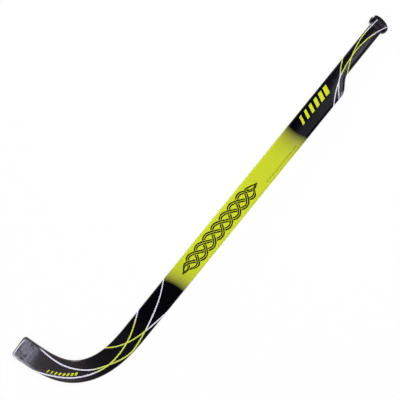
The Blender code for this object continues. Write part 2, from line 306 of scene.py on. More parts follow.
def dip_share(run, side):
    """How much of the toe's resin dip is on a place; along the inner edge it starts later."""
    start = DIP_START + LAG * ease((side - LAG_SIDE) / LAG_SPREAD)
    return ease((run - start) / DIP_SPREAD)


def fall_away(run, side, height, section):
    """How far the finished face lies under the CAD's, on the front half only.

    crown times (side / half width)^2, plus waves, plus the dip's share of ripples and lip.
    """
    inner, outer, low, high = upright(section[:4])
    half = np.maximum(inner - outer, LEAST_SIZE) / 2
    across = np.clip((side - (inner + outer) / 2) / half, -1.0, 1.0)
    upper = np.clip(2 * (height - low) / np.maximum(high - low, LEAST_SIZE) - 1, 0.0, 1.0)
    paddle = ease((run - HANDLE_LENGTH) / SHOULDER_LENGTH)
    crown = HANDLE_CROWN + (PADDLE_CROWN - HANDLE_CROWN) * paddle
    drop = crown * across ** 2 + WAVE_DEPTH * (1 + waves(run, side, *LONG_WAVES))
    lip = np.exp(-((STICK_LENGTH - run - BEAD_RUN) / BEAD_SPREAD) ** 2)
    ripple = waves(run, side, *RIPPLES)
    drop = drop + dip_share(run, side) * (RESIN_DEPTH * (1 + ripple) + BEAD_DEPTH * lip)
    return drop * upper


toe_runs = np.linspace(1.06, 1.09, 60)
toe_sides = np.linspace(-0.018, 0.018, 60)
toe_fall = fall_away(toe_runs[:, None], toe_sides, TOE_THICKNESS, skin_section(toe_runs))
print("deepest fall of the toe's face, mm:", round(1000 * float(toe_fall.max()), 2))

# %% [markdown]
# ## From arrays to a mesh
#
# A closed body is made of wrapped grids and end faces. One helper stitches them: it takes the
# points, the faces and the per-vertex values that the materials read, turns the faces outward if
# the body's signed volume is negative, and marks edges sharper than an angle.

# %% Mesh helpers
SHARP_ANGLE = math.radians(35)


def wrapped_quads(rows, columns, first=0):
    """Faces of a grid whose last column joins its first."""
    here = np.arange(rows * columns).reshape(rows, columns) + first
    ahead = np.roll(here, -1, axis=1)
    return np.stack([here[:-1], here[1:], ahead[1:], ahead[:-1]], axis=-1).reshape(-1, 4)


def signed_volume(points, faces):
    """Sum of the tetrahedra from the origin to each face's fan of triangles."""
    total = 0.0
    for corners in sorted({len(face) for face in faces}):
        group = np.array([face for face in faces if len(face) == corners])
        for step in range(1, corners - 1):
            a, b, c = (points[group[:, index]] for index in (0, step, step + 1))
            total += np.einsum("ij,ij->", a, np.cross(b, c)) / 6
    return total


def make_piece(name, points, faces, values, finishes, face_finish=None, layout=None):
    """A mesh object at the origin from points, faces, named vertex values and materials."""
    volume = signed_volume(points, faces)
    if volume < 0:
        faces = [face[::-1] for face in faces]
    mesh = bpy.data.meshes.new(name)
    mesh.from_pydata(points, [], faces)
    for key, data in values.items():
        attribute = mesh.attributes.new(key, "FLOAT", "POINT")
        attribute.data.foreach_set("value", np.asarray(data, np.float32).ravel())
    for finish in finishes:
        mesh.materials.append(finish)
    if face_finish is not None:
        mesh.polygons.foreach_set("material_index", np.asarray(face_finish, np.int32))
    if layout is not None:
        bake_map = mesh.uv_layers.new(name="OFBake")
        bake_map.data.foreach_set("uv", np.asarray(layout, np.float32).ravel())
    mesh.shade_smooth()
    mesh.set_sharp_from_angle(angle=SHARP_ANGLE)
    mesh.update()
    piece = bpy.data.objects.new(name, mesh)
    bpy.context.scene.collection.objects.link(piece)
    triangles = sum(len(face) - 2 for face in faces)
    print(f"{name}: {triangles} triangles, {abs(volume) * 1e6:.2f} cm3")
    return piece


# %% [markdown]
# ## Writing a finish
#
# A material is a small program. Long chains of nodes are hard to read, so one class wraps a socket
# and lets sums be written as sums: each operation on it adds its Math node. Colours are mixed, and
# any other node comes from one method that takes its type, its settings and what its sockets get.

# %% Shader arithmetic
class Signal:
    """A number that changes over a surface, as the output socket of a node."""

    def __init__(self, finish, socket):
        self.finish = finish
        self.socket = socket

    def __add__(self, other):
        return self.finish.math("ADD", self, other)

    def __sub__(self, other):
        return self.finish.math("SUBTRACT", self, other)

    def __rsub__(self, other):
        return self.finish.math("SUBTRACT", other, self)

    def __mul__(self, other):
        return self.finish.math("MULTIPLY", self, other)

    def __truediv__(self, other):
        return self.finish.math("DIVIDE", self, other)

    def __abs__(self):
        return self.finish.math("ABSOLUTE", self)

    __radd__ = __add__
    __rmul__ = __mul__


class Workshop:
    """A node tree, with a method for each kind of node that is used often."""

    def __init__(self, tree):
        self.tree = tree

    def node(self, kind, settings, sockets, output=0):
        """Any node: its type, its settings, the values or links of its sockets, and its output."""
        made = self.tree.nodes.new(kind)
        for key, value in settings.items():
            setattr(made, key, value)
        for key, value in sockets.items():
            if isinstance(value, Signal):
                self.tree.links.new(value.socket, made.inputs[key])
            else:
                made.inputs[key].default_value = value
        return Signal(self, made.outputs[output])

    def math(self, operation, *values):
        """One operation on numbers."""
        return self.node("ShaderNodeMath", {"operation": operation}, dict(enumerate(values)))

    def value(self, name):
        """A per-vertex value of the piece."""
        return self.node("ShaderNodeAttribute", {"attribute_name": name}, {}, "Fac")

    def place(self):
        """The point's own coordinates, in metres."""
        return self.node("ShaderNodeTexCoord", {}, {}, "Object")

    def point(self, x, y, z):
        """A vector from three numbers, for a noise that is stretched along the stick."""
        return self.node("ShaderNodeCombineXYZ", {}, {"X": x, "Y": y, "Z": z})

    def noise(self, point, scale, detail=2.0, roughness=0.5, distortion=0.0):
        """Clouds from 0 to 1, mostly near a half; the scale is how many there are in one unit."""
        sockets = {"Vector": point, "Scale": scale, "Detail": detail, "Roughness": roughness,
                   "Distortion": distortion}
        return self.node("ShaderNodeTexNoise", {}, sockets)

    def step(self, value, low, high):
        """0 below low, 1 above high and a smooth S between; low may be the greater."""
        first, last = (0.0, 1.0) if low <= high else (1.0, 0.0)
        sockets = {"Value": value, "From Min": min(low, high), "From Max": max(low, high),
                   "To Min": first, "To Max": last}
        return self.node("ShaderNodeMapRange", {"interpolation_type": "SMOOTHSTEP"}, sockets)

    def between(self, value, rise, fall):
        """1 where two steps are both past, each given as its low and high."""
        return self.step(value, *rise) * self.step(value, *fall)

    def blend(self, share, first, second):
        """A colour that goes from the first to the second as the share goes from 0 to 1."""
        sockets = {0: share, 6: first, 7: second}
        return self.node("ShaderNodeMix", {"data_type": "RGBA"}, sockets, 2)

    def bump(self, height, distance):
        """A bent normal: a height of 1 stands for the distance, in metres."""
        sockets = {"Height": height, "Distance": distance, "Strength": 1.0}
        return self.node("ShaderNodeBump", {}, sockets)

    def most(self, first, *others):
        """The greatest of some signals."""
        for other in others:
            first = self.math("MAXIMUM", first, other)
        return first


class Finish(Workshop):
    """A material whose Principled shader gets plain values and signals by socket name."""

    def __init__(self, name, **plain):
        self.material = bpy.data.materials.new(name)
        self.material.use_nodes = True
        super().__init__(self.material.node_tree)
        self.shader = self.tree.nodes["Principled BSDF"]
        for key, value in plain.items():
            self.shader.inputs[key.replace("_", " ")].default_value = value

    def feed(self, **signals):
        """Links what changes over the surface, and gives the finished material."""
        for key, signal in signals.items():
            self.tree.links.new(signal.socket, self.shader.inputs[key.replace("_", " ")])
        return self.material


def rgb(red, green, blue):
    """A colour of linear light, with full alpha."""
    return (red, green, blue, 1.0)


# %% [markdown]
# ## The film's pattern
#
# The film is printed before it is shrunk onto the stick: black, a lime panel that fades in and out
# along the paddle, and thin stripes that sweep across the blade and the handle and turn from white
# to lime and back. A stripe could be a painted picture, but it would blur in a close-up. It is
# drawn as a designer would: a few points, listed in millimetres of run and side, and a
# smooth curve through them. Each vertex keeps its signed distance from the stripe's middle, and
# the material turns the distance into a line that is crisp at any size.

# %% Stripe paths
WIDE_SWEEP = [(690, 24.5), (720, 9), (750, -2), (785, -11), (820, -17.5), (846, -20.5),
              (870, -16.5), (895, -9.5), (930, -2.5), (960, 5), (1000, 12), (1052, 20.5)]
LONG_SWEEP = [(770, 26), (800, 12.5), (820, 5), (845, -1.5), (870, -6), (895, -9.5),
              (930, -10.5), (965, -12), (1000, -16), (1038, -24)]
SHORT_SWEEP = [(744, -23.5), (770, -19.5), (800, -13.5), (820, -8), (840, -0.5), (860, 9.5),
               (883, 24.5)]
HANDLE_FIRST = [(112, 24), (130, 15), (145, 5), (155, 0), (170, -6), (185, -14), (198, -22)]
HANDLE_SECOND = [(8, -6), (25, 1.5), (45, 8), (65, 11.5), (85, 12.5), (105, 11), (130, 7.5),
                 (150, 2), (165, -7.5), (181, -21.5)]
HANDLE_THIRD = [(8, 18), (25, 19.5), (45, 21), (65, 19.5), (85, 15.5), (105, 9.5), (120, 2.5),
                (130, -2.5), (140, -9)]
STRIPE_PAIRS = [(HANDLE_FIRST, WIDE_SWEEP), (HANDLE_SECOND, LONG_SWEEP),
                (HANDLE_THIRD, SHORT_SWEEP)]
BETWEEN = 450.0


def curve_through(points, run):
    """Side and slope of a smooth curve at each run: cubic pieces with slopes from the neighbours.

    A piece is a + b t + c t^2 + d t^3 between two points; beyond the ends it goes on straight.
    """
    x, y = np.array(points, float).T
    slope = np.gradient(y, x)
    index = np.clip(np.searchsorted(x, run) - 1, 0, len(x) - 2)
    width = x[index + 1] - x[index]
    t = (run - x[index]) / width
    inside = np.clip(t, 0.0, 1.0)
    rise = y[index + 1] - y[index]
    first, last = slope[index] * width, slope[index + 1] * width
    c = 3 * rise - 2 * first - last
    d = first + last - 2 * rise
    value = y[index] + inside * (first + inside * (c + inside * d))
    tilt = (first + inside * (2 * c + inside * 3 * d)) / width
    return value + (t - inside) * width * tilt, tilt


def distance_from(points, run, side):
    """Signed distance in millimetres: sideways gap times the cosine of the stripe's slope."""
    middle, tilt = curve_through(points, run)
    return (side - middle) / np.sqrt(1 + tilt * tilt)


def stripe_values(run, side):
    """Three distances for each vertex: the handle's stripes or the blade's, whichever is near.

    All are turned to be positive where the two sets meet, so that none passes 0 between vertices.
    """
    values = {}
    for count, pair in enumerate(STRIPE_PAIRS, 1):
        near, far = (distance_from(path, run, side) * np.sign(distance_from(path, BETWEEN, 0.0))
                     for path in pair)
        values[f"stripe_{count}"] = np.where(run < BETWEEN, near, far)
    return values


middles = [float(curve_through(pair[0], 130.0)[0]) for pair in STRIPE_PAIRS]
print("stripes' middles at run 130, mm:", [round(middle, 1) for middle in middles])

# %% [markdown]
# ## The printed finish
#
# The ink is glossy black, near black on the shaft and a warmer violet black on the blade and the
# handle. Distances from the stripes become masks, the masks choose ink colours, and a clear coat
# with a faint orange peel lies over all of it. Every colour is written as linear light.

# %% Ink colours
SHAFT_BLACK = rgb(0.0012, 0.0012, 0.0022)
BLADE_BLACK = rgb(0.034, 0.028, 0.033)
HANDLE_BLACK = rgb(0.0048, 0.0041, 0.0064)
LIME = rgb(0.62, 0.70, 0.030)
FADED_LIME = rgb(0.62, 0.64, 0.090)
STRIPE_LIME = rgb(0.63, 0.70, 0.115)
WHITE = rgb(0.79, 0.77, 0.87)
GLOSS_TINT = rgb(0.90, 0.86, 1.0)
# The dip's grey is partly the resin's own dull grey and partly painted sheen. The dark tone is
# painted: the blotches in that sheen, and the shade past the rim.
RESIN_AND_SHEEN_GREY = rgb(0.165, 0.160, 0.200)
RESIN_PAINTED_DARK = rgb(0.030, 0.027, 0.040)
# Painted highlight on the toe's rim.
RIM_HIGHLIGHT = rgb(0.82, 0.80, 0.88)
# Painted highlights, drawn as pale flecked spots.
GLINT_PALE = rgb(0.88, 0.86, 0.92)
GLINT_DULL = rgb(0.56, 0.54, 0.60)

# %% [markdown]
# Each mask below goes from 0 to 1 over a third of a millimetre, which is how sharp a screen print
# is. Where the colours change along the stick, the change is spread over centimetres instead, as
# from an airbrush. A pair of numbers is where such a change starts and ends, in millimetres of run
# or side; a falling one is written backwards.

# %% Stripe masks
PRINT_EDGE = 0.17
FINE_HALF = 0.90
BLADE_GAIN, BLADE_WIDENS = 0.37, (670, 770)
TURN_GAIN, TURN_STARTS, TURN_ENDS = 0.25, (806, 832), (886, 862)
SPREAD_GAIN, BEND_SPREAD, TOE_SPREAD = 0.15, (815, 845), (940, 990)
STRIPES_FADE = (1058, 1043)
KNOB_FADE, KNOB_WEARS = 0.30, (38, 16)
HANDLE_LIME = (30, 50), (146, 132)
BLADE_LIME = (778, 806), (932, 908)


def stripe_mask(finish, run):
    """1 where the distance from a stripe is under its half width, which grows along the blade."""
    half = finish.step(run, *BLADE_WIDENS) * BLADE_GAIN + FINE_HALF
    turning = finish.between(run, TURN_STARTS, TURN_ENDS) * TURN_GAIN
    toe_ward = finish.step(run, *TOE_SPREAD) * SPREAD_GAIN
    halves = [turning + toe_ward + half, finish.step(run, *BEND_SPREAD) * SPREAD_GAIN + half, half]
    lines = [finish.step(abs(finish.value(f"stripe_{count}")) - half, PRINT_EDGE, -PRINT_EDGE)
             for count, half in enumerate(halves, 1)]
    whole = 1 - finish.step(run, *KNOB_WEARS) * KNOB_FADE
    return finish.most(*lines) * finish.step(run, *STRIPES_FADE) * whole


def stripe_tint(finish, run):
    """0 where stripes are white and 1 where they are lime: lime in the middle of both sets."""
    return finish.most(finish.between(run, *HANDLE_LIME), finish.between(run, *BLADE_LIME))


# %% [markdown]
# The lime panel has bowed ends, and its ink thins out there like spray: fast at first, then slower
# and slower, which is what an exponential does.

# %% Lime panel
UPPER_SIDE, UPPER_BOW, UPPER_RUN, UPPER_FADE = 8, 0.0077, 289.8, 23
LOWER_SIDE, LOWER_BOW, LOWER_RUN, LOWER_FADE = 14, 0.0062, 687, 18.3


def panel_share(finish, run, side):
    """How much lime the panel has: 1 - exp(-distance past its bowed end / fade), at both ends."""
    upper_bow = side - UPPER_SIDE
    lower_bow = side + LOWER_SIDE
    upper = finish.most(run + upper_bow * upper_bow * UPPER_BOW - UPPER_RUN, 0.0)
    lower = finish.most(lower_bow * lower_bow * LOWER_BOW + LOWER_RUN - run, 0.0)
    shares = [1 - finish.math("EXPONENT", gap * (-1 / fade))
              for gap, fade in ((upper, UPPER_FADE), (lower, LOWER_FADE))]
    return shares[0] * shares[1]


# %% [markdown]
# On the panel lies a plait of three ribbons. A plait's strands follow sin(t), a third of a turn
# apart, and rise and dip as sin(2t), so at each crossing the depths say which ribbon passes over.
# Every ribbon is drawn as a black band with a fine lime line along its middle, and it stops short
# of the ribbon above it, so the plait reads as woven. Its ends are drawn together to a point.

# %% Plait
PLAIT_START = 420.0
PLAIT_LENGTH = 240.0
PLAIT_ENDS = (-0.002, 0.002), (1.002, 0.998)
PLAIT_TAPER = (-0.02, 0.14), (1.02, 0.86)
PLAIT_WAVE = 2 * math.pi / 80.0
PLAIT_PHASE = 0.5
PLAIT_SWING = 13.2
PLAIT_LEAN = 0.30
RIBBON_HALF = 3.5
RIBBON_END = 0.6
RIBBON_LINE = 0.65
LINE_LOSS = 0.5
RIBBON_GAP = 0.9
RIBBON_SOFT = 0.2


def plait(finish, run, side):
    """Black of the three ribbons: bands along side = swing sin(t + thirds of a turn)."""
    along = run - PLAIT_START - side * PLAIT_LEAN
    share = along / PLAIT_LENGTH
    inside = finish.between(share, *PLAIT_ENDS)
    spread = finish.between(share, *PLAIT_TAPER)
    swing = spread * PLAIT_SWING
    half = spread * (RIBBON_HALF - RIBBON_END) + RIBBON_END
    line = spread * (RIBBON_LINE + LINE_LOSS) - LINE_LOSS
    clear = spread * RIBBON_GAP
    turn = along * PLAIT_WAVE
    gaps, depths = [], []
    for third in range(3):
        angle = turn + (third * 2 * math.pi / 3 + PLAIT_PHASE)
        slope = finish.math("COSINE", angle) * swing * PLAIT_WAVE
        across = slope * PLAIT_LEAN + 1
        lean = finish.math("SQRT", slope * slope + across * across)
        gaps.append(abs(side - finish.math("SINE", angle) * swing) / lean)
        depths.append(finish.math("SINE", angle * 2))
    bands = []
    for own in range(3):
        band = finish.step(gaps[own] - half, RIBBON_SOFT, -RIBBON_SOFT)
        band = band * finish.step(gaps[own] - line, -RIBBON_SOFT, RIBBON_SOFT)
        for other in range(3):
            if other != own:
                above = finish.math("GREATER_THAN", depths[other], depths[own])
                covered = finish.step(gaps[other] - half - clear, RIBBON_SOFT, -RIBBON_SOFT)
                band = band * (1 - covered * above)
        bands.append(band)
    return finish.most(*bands) * inside


# %% [markdown]
# On the black parts are two rows of slanted bars that grow thinner, as on much sports gear, and
# beside the plait runs a fine broken line. All of them are worked out from run and side.

# %% Bars and broken line
BAR_WIDTH, BAR_LOSS, BAR_SOFT = 0.68, 0.36, 0.2
DASH_ENDS = (0.72, 0.66), (0.0, 0.06)
DASH_SOFT, DASH_CUT = 0.15, 0.1


def bars(finish, run, side, start, pitch, count, half, lean):
    """A row of slanted bars, each thinner than the one before, centred on side 0."""
    along = (run - start + side * lean) / pitch
    index = finish.math("FLOOR", along)
    inside = along - index
    width = BAR_WIDTH - index * (BAR_LOSS / count)
    soft = BAR_SOFT / pitch
    bar = finish.step(inside - width, soft, -soft) * finish.step(inside, 0.0, 2 * soft)
    row = finish.between(along, (-0.001, 0.001), (count + 0.001, count - 0.001))
    return bar * row * finish.step(abs(side), half + BAR_SOFT, half - BAR_SOFT)


def broken_line(finish, run, side, start, end, pitch, half):
    """Dashes along side 0: a narrow band times the fraction of run over pitch, cut at its ends."""
    dash = finish.between(finish.math("FRACT", (run - start) / pitch), *DASH_ENDS)
    band = finish.step(abs(side), half + DASH_SOFT, half - DASH_SOFT)
    first = finish.step(run, start - DASH_CUT, start + DASH_CUT)
    last = finish.step(run, end + DASH_CUT, end - DASH_CUT)
    return dash * band * first * last


# %% [markdown]
# ## Painted highlights and blotches
#
# Pale spots are painted highlights, on the knob, the shoulder's corner and the toe's, and darker
# blotches are painted breaks in the dip's sheen. They could be painted by hand. Here each is an
# ellipse in run and side whose outline is bent and frayed by noise, which costs one line a spot and
# stays sharp at any size. Every one is told by its middle, its two half sizes and its strength.

# %% Painted highlights and blotches
# Painted highlights, each a pale spot: the knob's lobe and its foot, the shoulder's corner, the
# toe's corner, and a faint one at the toe's inner rim.
GLINT_SPOTS = [(7.5, 29, 4, 4, 1.0), (24.5, 25, 2, 3.5, 0.70), (168.5, -23.5, 7, 4.5, 0.34),
          (1088.5, -24, 8.5, 5, 1.0), (1085, 19.5, 5, 2, 0.16)]
# Painted dark blotches in the sheen of the dip.
DARK_BLOTCHES = [(1070, -8.5, 4, 4.5, 1.0), (1074, -17.5, 4, 3.5, 1.0), (1082.5, -12.5, 4, 4.5, 0.55),
         (1088, -5, 2, 7.5, 1.0), (1066, 13, 3, 3, 0.8), (1070.5, 17.5, 4.5, 4, 1.0),
         (1079, -4, 2, 2, 0.5)]
SPOT_BEND = 11
SPOT_FRAY = 1.6
SPOT_EDGE = (1.65, 0.4)
GLINT_GRAIN, BLOTCH_GRAIN = 260.0, 150.0
GLINT_WANDER = 14
GLINT_HEIGHTS = (4.0, 9.0)
FLECKS = (0.35, 0.62)


def spots(film, run, side, point, places, grain):
    """Strength inside ellipses given by their middle (run, side), half sizes and strength.

    Noise bends run and side first, and more noise frays the edge, so that no ellipse is seen.
    """
    ragged = (film.noise(point, grain, 4.0, 0.6) - 0.5) * SPOT_FRAY
    bent_run = (film.noise(point, 130.0, 2.0) - 0.5) * SPOT_BEND + run
    bent_side = (film.noise(point, 97.0, 2.0) - 0.5) * SPOT_BEND + side
    shares = []
    for middle_run, middle_side, half_run, half_side, strength in places:
        u = (bent_run - middle_run) / half_run
        v = (bent_side - middle_side) / half_side
        shares.append(film.step(u * u + v * v + ragged, *SPOT_EDGE) * strength)
    return film.most(*shares)


def glint_share(finish, run, side, point, places):
    """Painted highlight spots, which fade out halfway down an edge, so they keep to the front."""
    lift = (finish.noise(point, 150.0, 3.0) - 0.5) * GLINT_WANDER + finish.value("height")
    glint = spots(finish, run, side, point, places, GLINT_GRAIN)
    return glint * finish.step(lift, *GLINT_HEIGHTS)


def glint_tone(film, point):
    """Colour of a painted highlight: brighter and duller flecks from fine noise."""
    flecks = film.step(film.noise(point, 600.0, 4.0, 0.6), *FLECKS)
    return film.blend(flecks, GLINT_DULL, GLINT_PALE)


# %% [markdown]
# ## The dipped toe
#
# The last four centimetres are dipped in resin that dried dull grey, and a painted sheen lies on
# that grey, mottled and with painted dark blotches. Its edge wanders, it starts later along the
# inner edge, and a strip there is kept dark. A painted highlight runs along a bowed line near the
# end and along the outer edge, with painted shade past the line. An image could hold this, but it
# would be stretched at the corners, so each part is a mask made from run, side and noise.

# %% Resin dip
DIP_EDGE, DIP_WANDER = (1041, 1066), 22
LATE_SIDES, LATE_RUNS, LATE_LENGTH = (16.5, 20.5), (1081, 1075), 14
# A strip and corner on the inner side near the end are kept dark.
DARK_STRIP_RUN, DARK_STRIP_SIDE, DARK_STRIP_ROUND = 1087.7, 17.9, (2.4, 3.6)
DARK_STRIP_SIDES, DARK_STRIP_RUNS, DARK_STRIP_SHARE = (17.0, 19.0), (1091.6, 1090.0), 0.9
# A painted highlight along a bowed line near the end and along the outer edge, and painted shade
# past that line.
RIM_SIDE, RIM_BOW, RIM_RUN = 6, 0.0035, 1091.8
RIM_WIDTH, RIM_MIDDLE, RIM_ENDS = (1.45, 0.45), 0.5, (19.0, 15.0)
EDGE_SIDES, EDGE_RUNS, EDGE_SHARE = (-20.6, -22.0), (1036, 1050), 0.36
PAST_RUNS, PAST_SIDES = (1092.9, 1093.3), (-20.0, -18.0)
PAST_FALLS, PAST_GAIN, PAST_SHARE = (20.0, 13.0), 0.45, 0.25


def resin_signal(film, run, side, point):
    """Share of the dip: a wandering edge, less a strip and corner on the inner side kept dark."""
    late = film.step(side, *LATE_SIDES) * film.step(run, *LATE_RUNS) * LATE_LENGTH
    wander = (film.noise(point, 70.0, 3.0) - 0.5) * DIP_WANDER
    past = film.most(run - DARK_STRIP_RUN, 0.0)
    beyond = film.most(side - DARK_STRIP_SIDE, 0.0)
    out = film.math("SQRT", past * past + beyond * beyond)
    dark_strip = film.step(out, *DARK_STRIP_ROUND) * film.step(side, *DARK_STRIP_SIDES) * film.step(run, *DARK_STRIP_RUNS)
    return film.step(run - late + wander, *DIP_EDGE) * (1 - dark_strip * DARK_STRIP_SHARE)


def rim_highlight_and_shade(film, run, side):
    """Painted highlight on the bowed line and the outer edge, and painted shade past the line."""
    bow = side + RIM_SIDE
    along = run + bow * bow * RIM_BOW
    line = film.step(abs(along - RIM_RUN), *RIM_WIDTH)
    line = line * film.step(abs(side + RIM_MIDDLE), *RIM_ENDS)
    edge = film.step(side, *EDGE_SIDES) * film.step(run, *EDGE_RUNS) * EDGE_SHARE
    past = film.step(along, *PAST_RUNS) * film.step(side, *PAST_SIDES)
    return film.most(line, edge), past * (film.step(side, *PAST_FALLS) * PAST_GAIN + PAST_SHARE)


# %% [markdown]
# ## The film's finish
#
# The real film has its inks under a clear layer. Each layer here covers the one before through a
# mask, in this order: black, lime, plait, bars, stripes, the dip's grey with its painted sheen, and
# the painted highlights. Gloss is a matter of roughness: low on the film, higher and blotched on
# the dip. The faint bump is orange peel, too fine to model.

# %% Film inks
BEND_WARMS, BEND_SHARE = (770, 850), 0.16
BLADE_WARMS, BLADE_SHARE = (900, 990), 0.84
HANDLE_WARMS = (260, 130)
FULL_LIME = (0.30, 0.95)
# The last pair is painted shade: the lime is darkened towards the handle end of the panel.
INK_COVER, INK_PATCHES, SHADED_LIME_RUNS, SHADED_LIME_SHARE = 0.975, 0.05, (480, 400), 0.05
DASH_SHARE = 0.8
# Painted mottle and dark blotches in the dip's sheen.
MOTTLE_RANGE = (0.20, 0.60)
BLOTCH_SHARE = 0.9


def printed_ink(film, run, side, point):
    """Three blacks, then the lime panel, the plait and dashes, the bars and the stripes."""
    blade = film.step(run, *BEND_WARMS) * BEND_SHARE + film.step(run, *BLADE_WARMS) * BLADE_SHARE
    black = film.blend(blade, SHAFT_BLACK, BLADE_BLACK)
    black = film.blend(film.step(run, *HANDLE_WARMS), black, HANDLE_BLACK)
    lime = panel_share(film, run, side)
    panel = film.blend(film.step(lime, *FULL_LIME), FADED_LIME, LIME)
    lime_cover_and_shade = film.noise(point, 9.0, 3.0) * INK_PATCHES + INK_COVER
    # Painted shade: the lime is darkened by up to a twentieth towards the handle end.
    lime_cover_and_shade = lime_cover_and_shade - film.step(run, *SHADED_LIME_RUNS) * SHADED_LIME_SHARE
    ink = film.blend(lime * lime_cover_and_shade, black, panel)
    dashes = broken_line(film, run, side + 15.2, start=312, end=408, pitch=5.0, half=0.75)
    ink = film.blend(film.most(plait(film, run, side), dashes * DASH_SHARE), ink, SHAFT_BLACK)
    wide_bars = bars(film, run, side - 8.7, start=180.0, pitch=16.0, count=6, half=8.3, lean=0.45)
    small_side = side + 4.0 + (run - 959) * 0.13
    small_bars = bars(film, run, small_side, start=959.0, pitch=7.9, count=8, half=2.9, lean=0.5)
    ink = film.blend(film.most(wide_bars, small_bars), ink, LIME)
    stripe = film.blend(stripe_tint(film, run), WHITE, STRIPE_LIME)
    return film.blend(stripe_mask(film, run), ink, stripe)


def resin_and_sheen(film, run, side, point, mottle):
    """Dip colour: resin grey with painted sheen and blotches, a painted rim highlight and shade."""
    # The resin's grey with a painted sheen, mottled, and with painted dark blotches.
    resin_sheen = film.blend(film.step(mottle, *MOTTLE_RANGE), RESIN_PAINTED_DARK, RESIN_AND_SHEEN_GREY)
    blotches = spots(film, run, side, point, DARK_BLOTCHES, BLOTCH_GRAIN) * BLOTCH_SHARE
    resin_sheen = film.blend(blotches, resin_sheen, RESIN_PAINTED_DARK)
    # Painted highlight on the rim and painted shade past it.
    pale, dark = rim_highlight_and_shade(film, run, side)
    return film.blend(dark, film.blend(pale, resin_sheen, RIM_HIGHLIGHT), RESIN_PAINTED_DARK)


# %% [markdown]
# The bump and the roughness are sums too. Each noise is told by how many clouds it has in a metre
# and by its share, so the fine ones can be kept faint.

# %% Film gloss
# The dip's grey and its painted sheen fade in a little before the dip.
SHEEN_FADE_RUNS, SHEEN_FADE_SHARE = (1018, 1052), 0.10
FILM_ROUGH, RUB_GAIN, RUB_RANGE = 0.09, 0.07, (0.35, 0.8)
RESIN_ROUGH, MOTTLE_GAIN, GLINT_ROUGH_GAIN = 0.13, 0.18, 0.3
KNOB_ROUGH, KNOB_DULLS = 0.10, (34, 22)
PEEL_DEPTH = 0.00006


def film_finish():
    """Inks under a clear coat, the toe's dull dip with painted sheen, and painted highlights."""
    film = Finish("printed_film_gloss", IOR=1.47, Specular_Tint=GLOSS_TINT)
    run, side, point = film.value("run"), film.value("side"), film.place()
    resin = resin_signal(film, run, side, point)
    mottle = film.noise(point, 110.0, 4.0, 0.6, 0.5)
    # The dip's grey with its painted sheen, faded in a little before the dip.
    resin_sheen_share = film.most(resin, film.step(run, *SHEEN_FADE_RUNS) * SHEEN_FADE_SHARE)
    ink = printed_ink(film, run, side, point)
    ink = film.blend(resin_sheen_share, ink, resin_and_sheen(film, run, side, point, mottle))
    # Painted highlights on the knob, the shoulder and the toe, which are also made rougher.
    glint = glint_share(film, run, side, point, GLINT_SPOTS)
    ink = film.blend(glint, ink, glint_tone(film, point))

    peel = film.noise(point, 420.0, 1.0) * 0.35 + film.noise(point, 1400.0, 1.0) * 0.1
    peel = peel + resin * (film.noise(point, 210.0, 4.0, 0.6) * 1.4)
    rough = film.step(film.noise(point, 60.0, 6.0, 0.7), *RUB_RANGE) * RUB_GAIN + FILM_ROUGH
    rough = rough + resin * (mottle * MOTTLE_GAIN + RESIN_ROUGH) + glint * GLINT_ROUGH_GAIN
    rough = rough + film.step(run, *KNOB_DULLS) * KNOB_ROUGH
    return film.feed(Base_Color=ink, Roughness=rough, Normal=film.bump(peel, PEEL_DEPTH))


# %% [markdown]
# ## Inside the sleeve
#
# Under the print is a sleeve of glass fibre wetted with resin. Its inner face is never polished:
# it keeps the crossed lines of the braid. The same two crossed sets of lines are in the carbon.
# A woven picture could be tiled over both, but it would slip in the bend, and run and side do not.

# %% Sleeve finish
GLASS_TOW, GLASS_BUMP = 2.6, 0.00012
GLASS_DARK, GLASS_PALE = rgb(0.028, 0.030, 0.030), rgb(0.075, 0.080, 0.078)


def crossed_tows(finish, tow):
    """Fractions across two sets of tows laid crosswise at 45 degrees, and which set lies on top.

    A 2/2 twill: a warp tow is on top in two cells of four, and the pattern steps by one each row.
    """
    run, side, height = (finish.value(key) for key in ("run", "side", "height"))
    first = (run + side + height) / (tow * math.sqrt(2))
    second = (run - side - height) / (tow * math.sqrt(2))
    cells = finish.math("FLOOR", first) + finish.math("FLOOR", second)
    on_top = finish.step(finish.math("FLOORED_MODULO", cells, 4.0), 1.4, 1.6)
    return finish.math("FRACT", first), finish.math("FRACT", second), on_top


def tow_height(finish, first, second, on_top):
    """Round backs of the tows on top: sine of pi times the fraction across."""
    warp = finish.math("SINE", first * math.pi) * on_top
    return warp + finish.math("SINE", second * math.pi) * (1 - on_top)


def sleeve_finish():
    """Wet glass braid: the tows' backs show through resin of uneven depth."""
    sleeve = Finish("glass_sleeve_inside", IOR=1.5)
    bulge = tow_height(sleeve, *crossed_tows(sleeve, GLASS_TOW))
    wet = sleeve.noise(sleeve.place(), 45.0, 4.0)
    tone = sleeve.blend(bulge * 0.6 + wet * 0.4, GLASS_DARK, GLASS_PALE)
    rough = wet * 0.25 + 0.34
    return sleeve.feed(Base_Color=tone, Roughness=rough, Normal=sleeve.bump(bulge, GLASS_BUMP))


# %% [markdown]
# ## The film on the stick
#
# The film and the fibre sleeve under it are one hollow body, open where the two end caps close it.
# Its outside is a grid of runs by places round the section. The runs are closer together where the
# shape changes quickly: at the knob, the shoulder, the bend and the rippled toe. The inner wall is
# a coarser grid, and it sinks a little where the outside does, so the wall never runs out.

# %% Film grid
WALL_SHARE = 0.25


def stations(start, *spans):
    """Runs from spans of (end, step), one after another, without those shorter than their step."""
    runs = [start]
    for end, step in spans:
        if end > runs[-1] + step:
            count = int(round((end - runs[-1]) / step))
            runs.extend(np.linspace(runs[-1], end, count + 1)[1:])
    return np.array(runs)


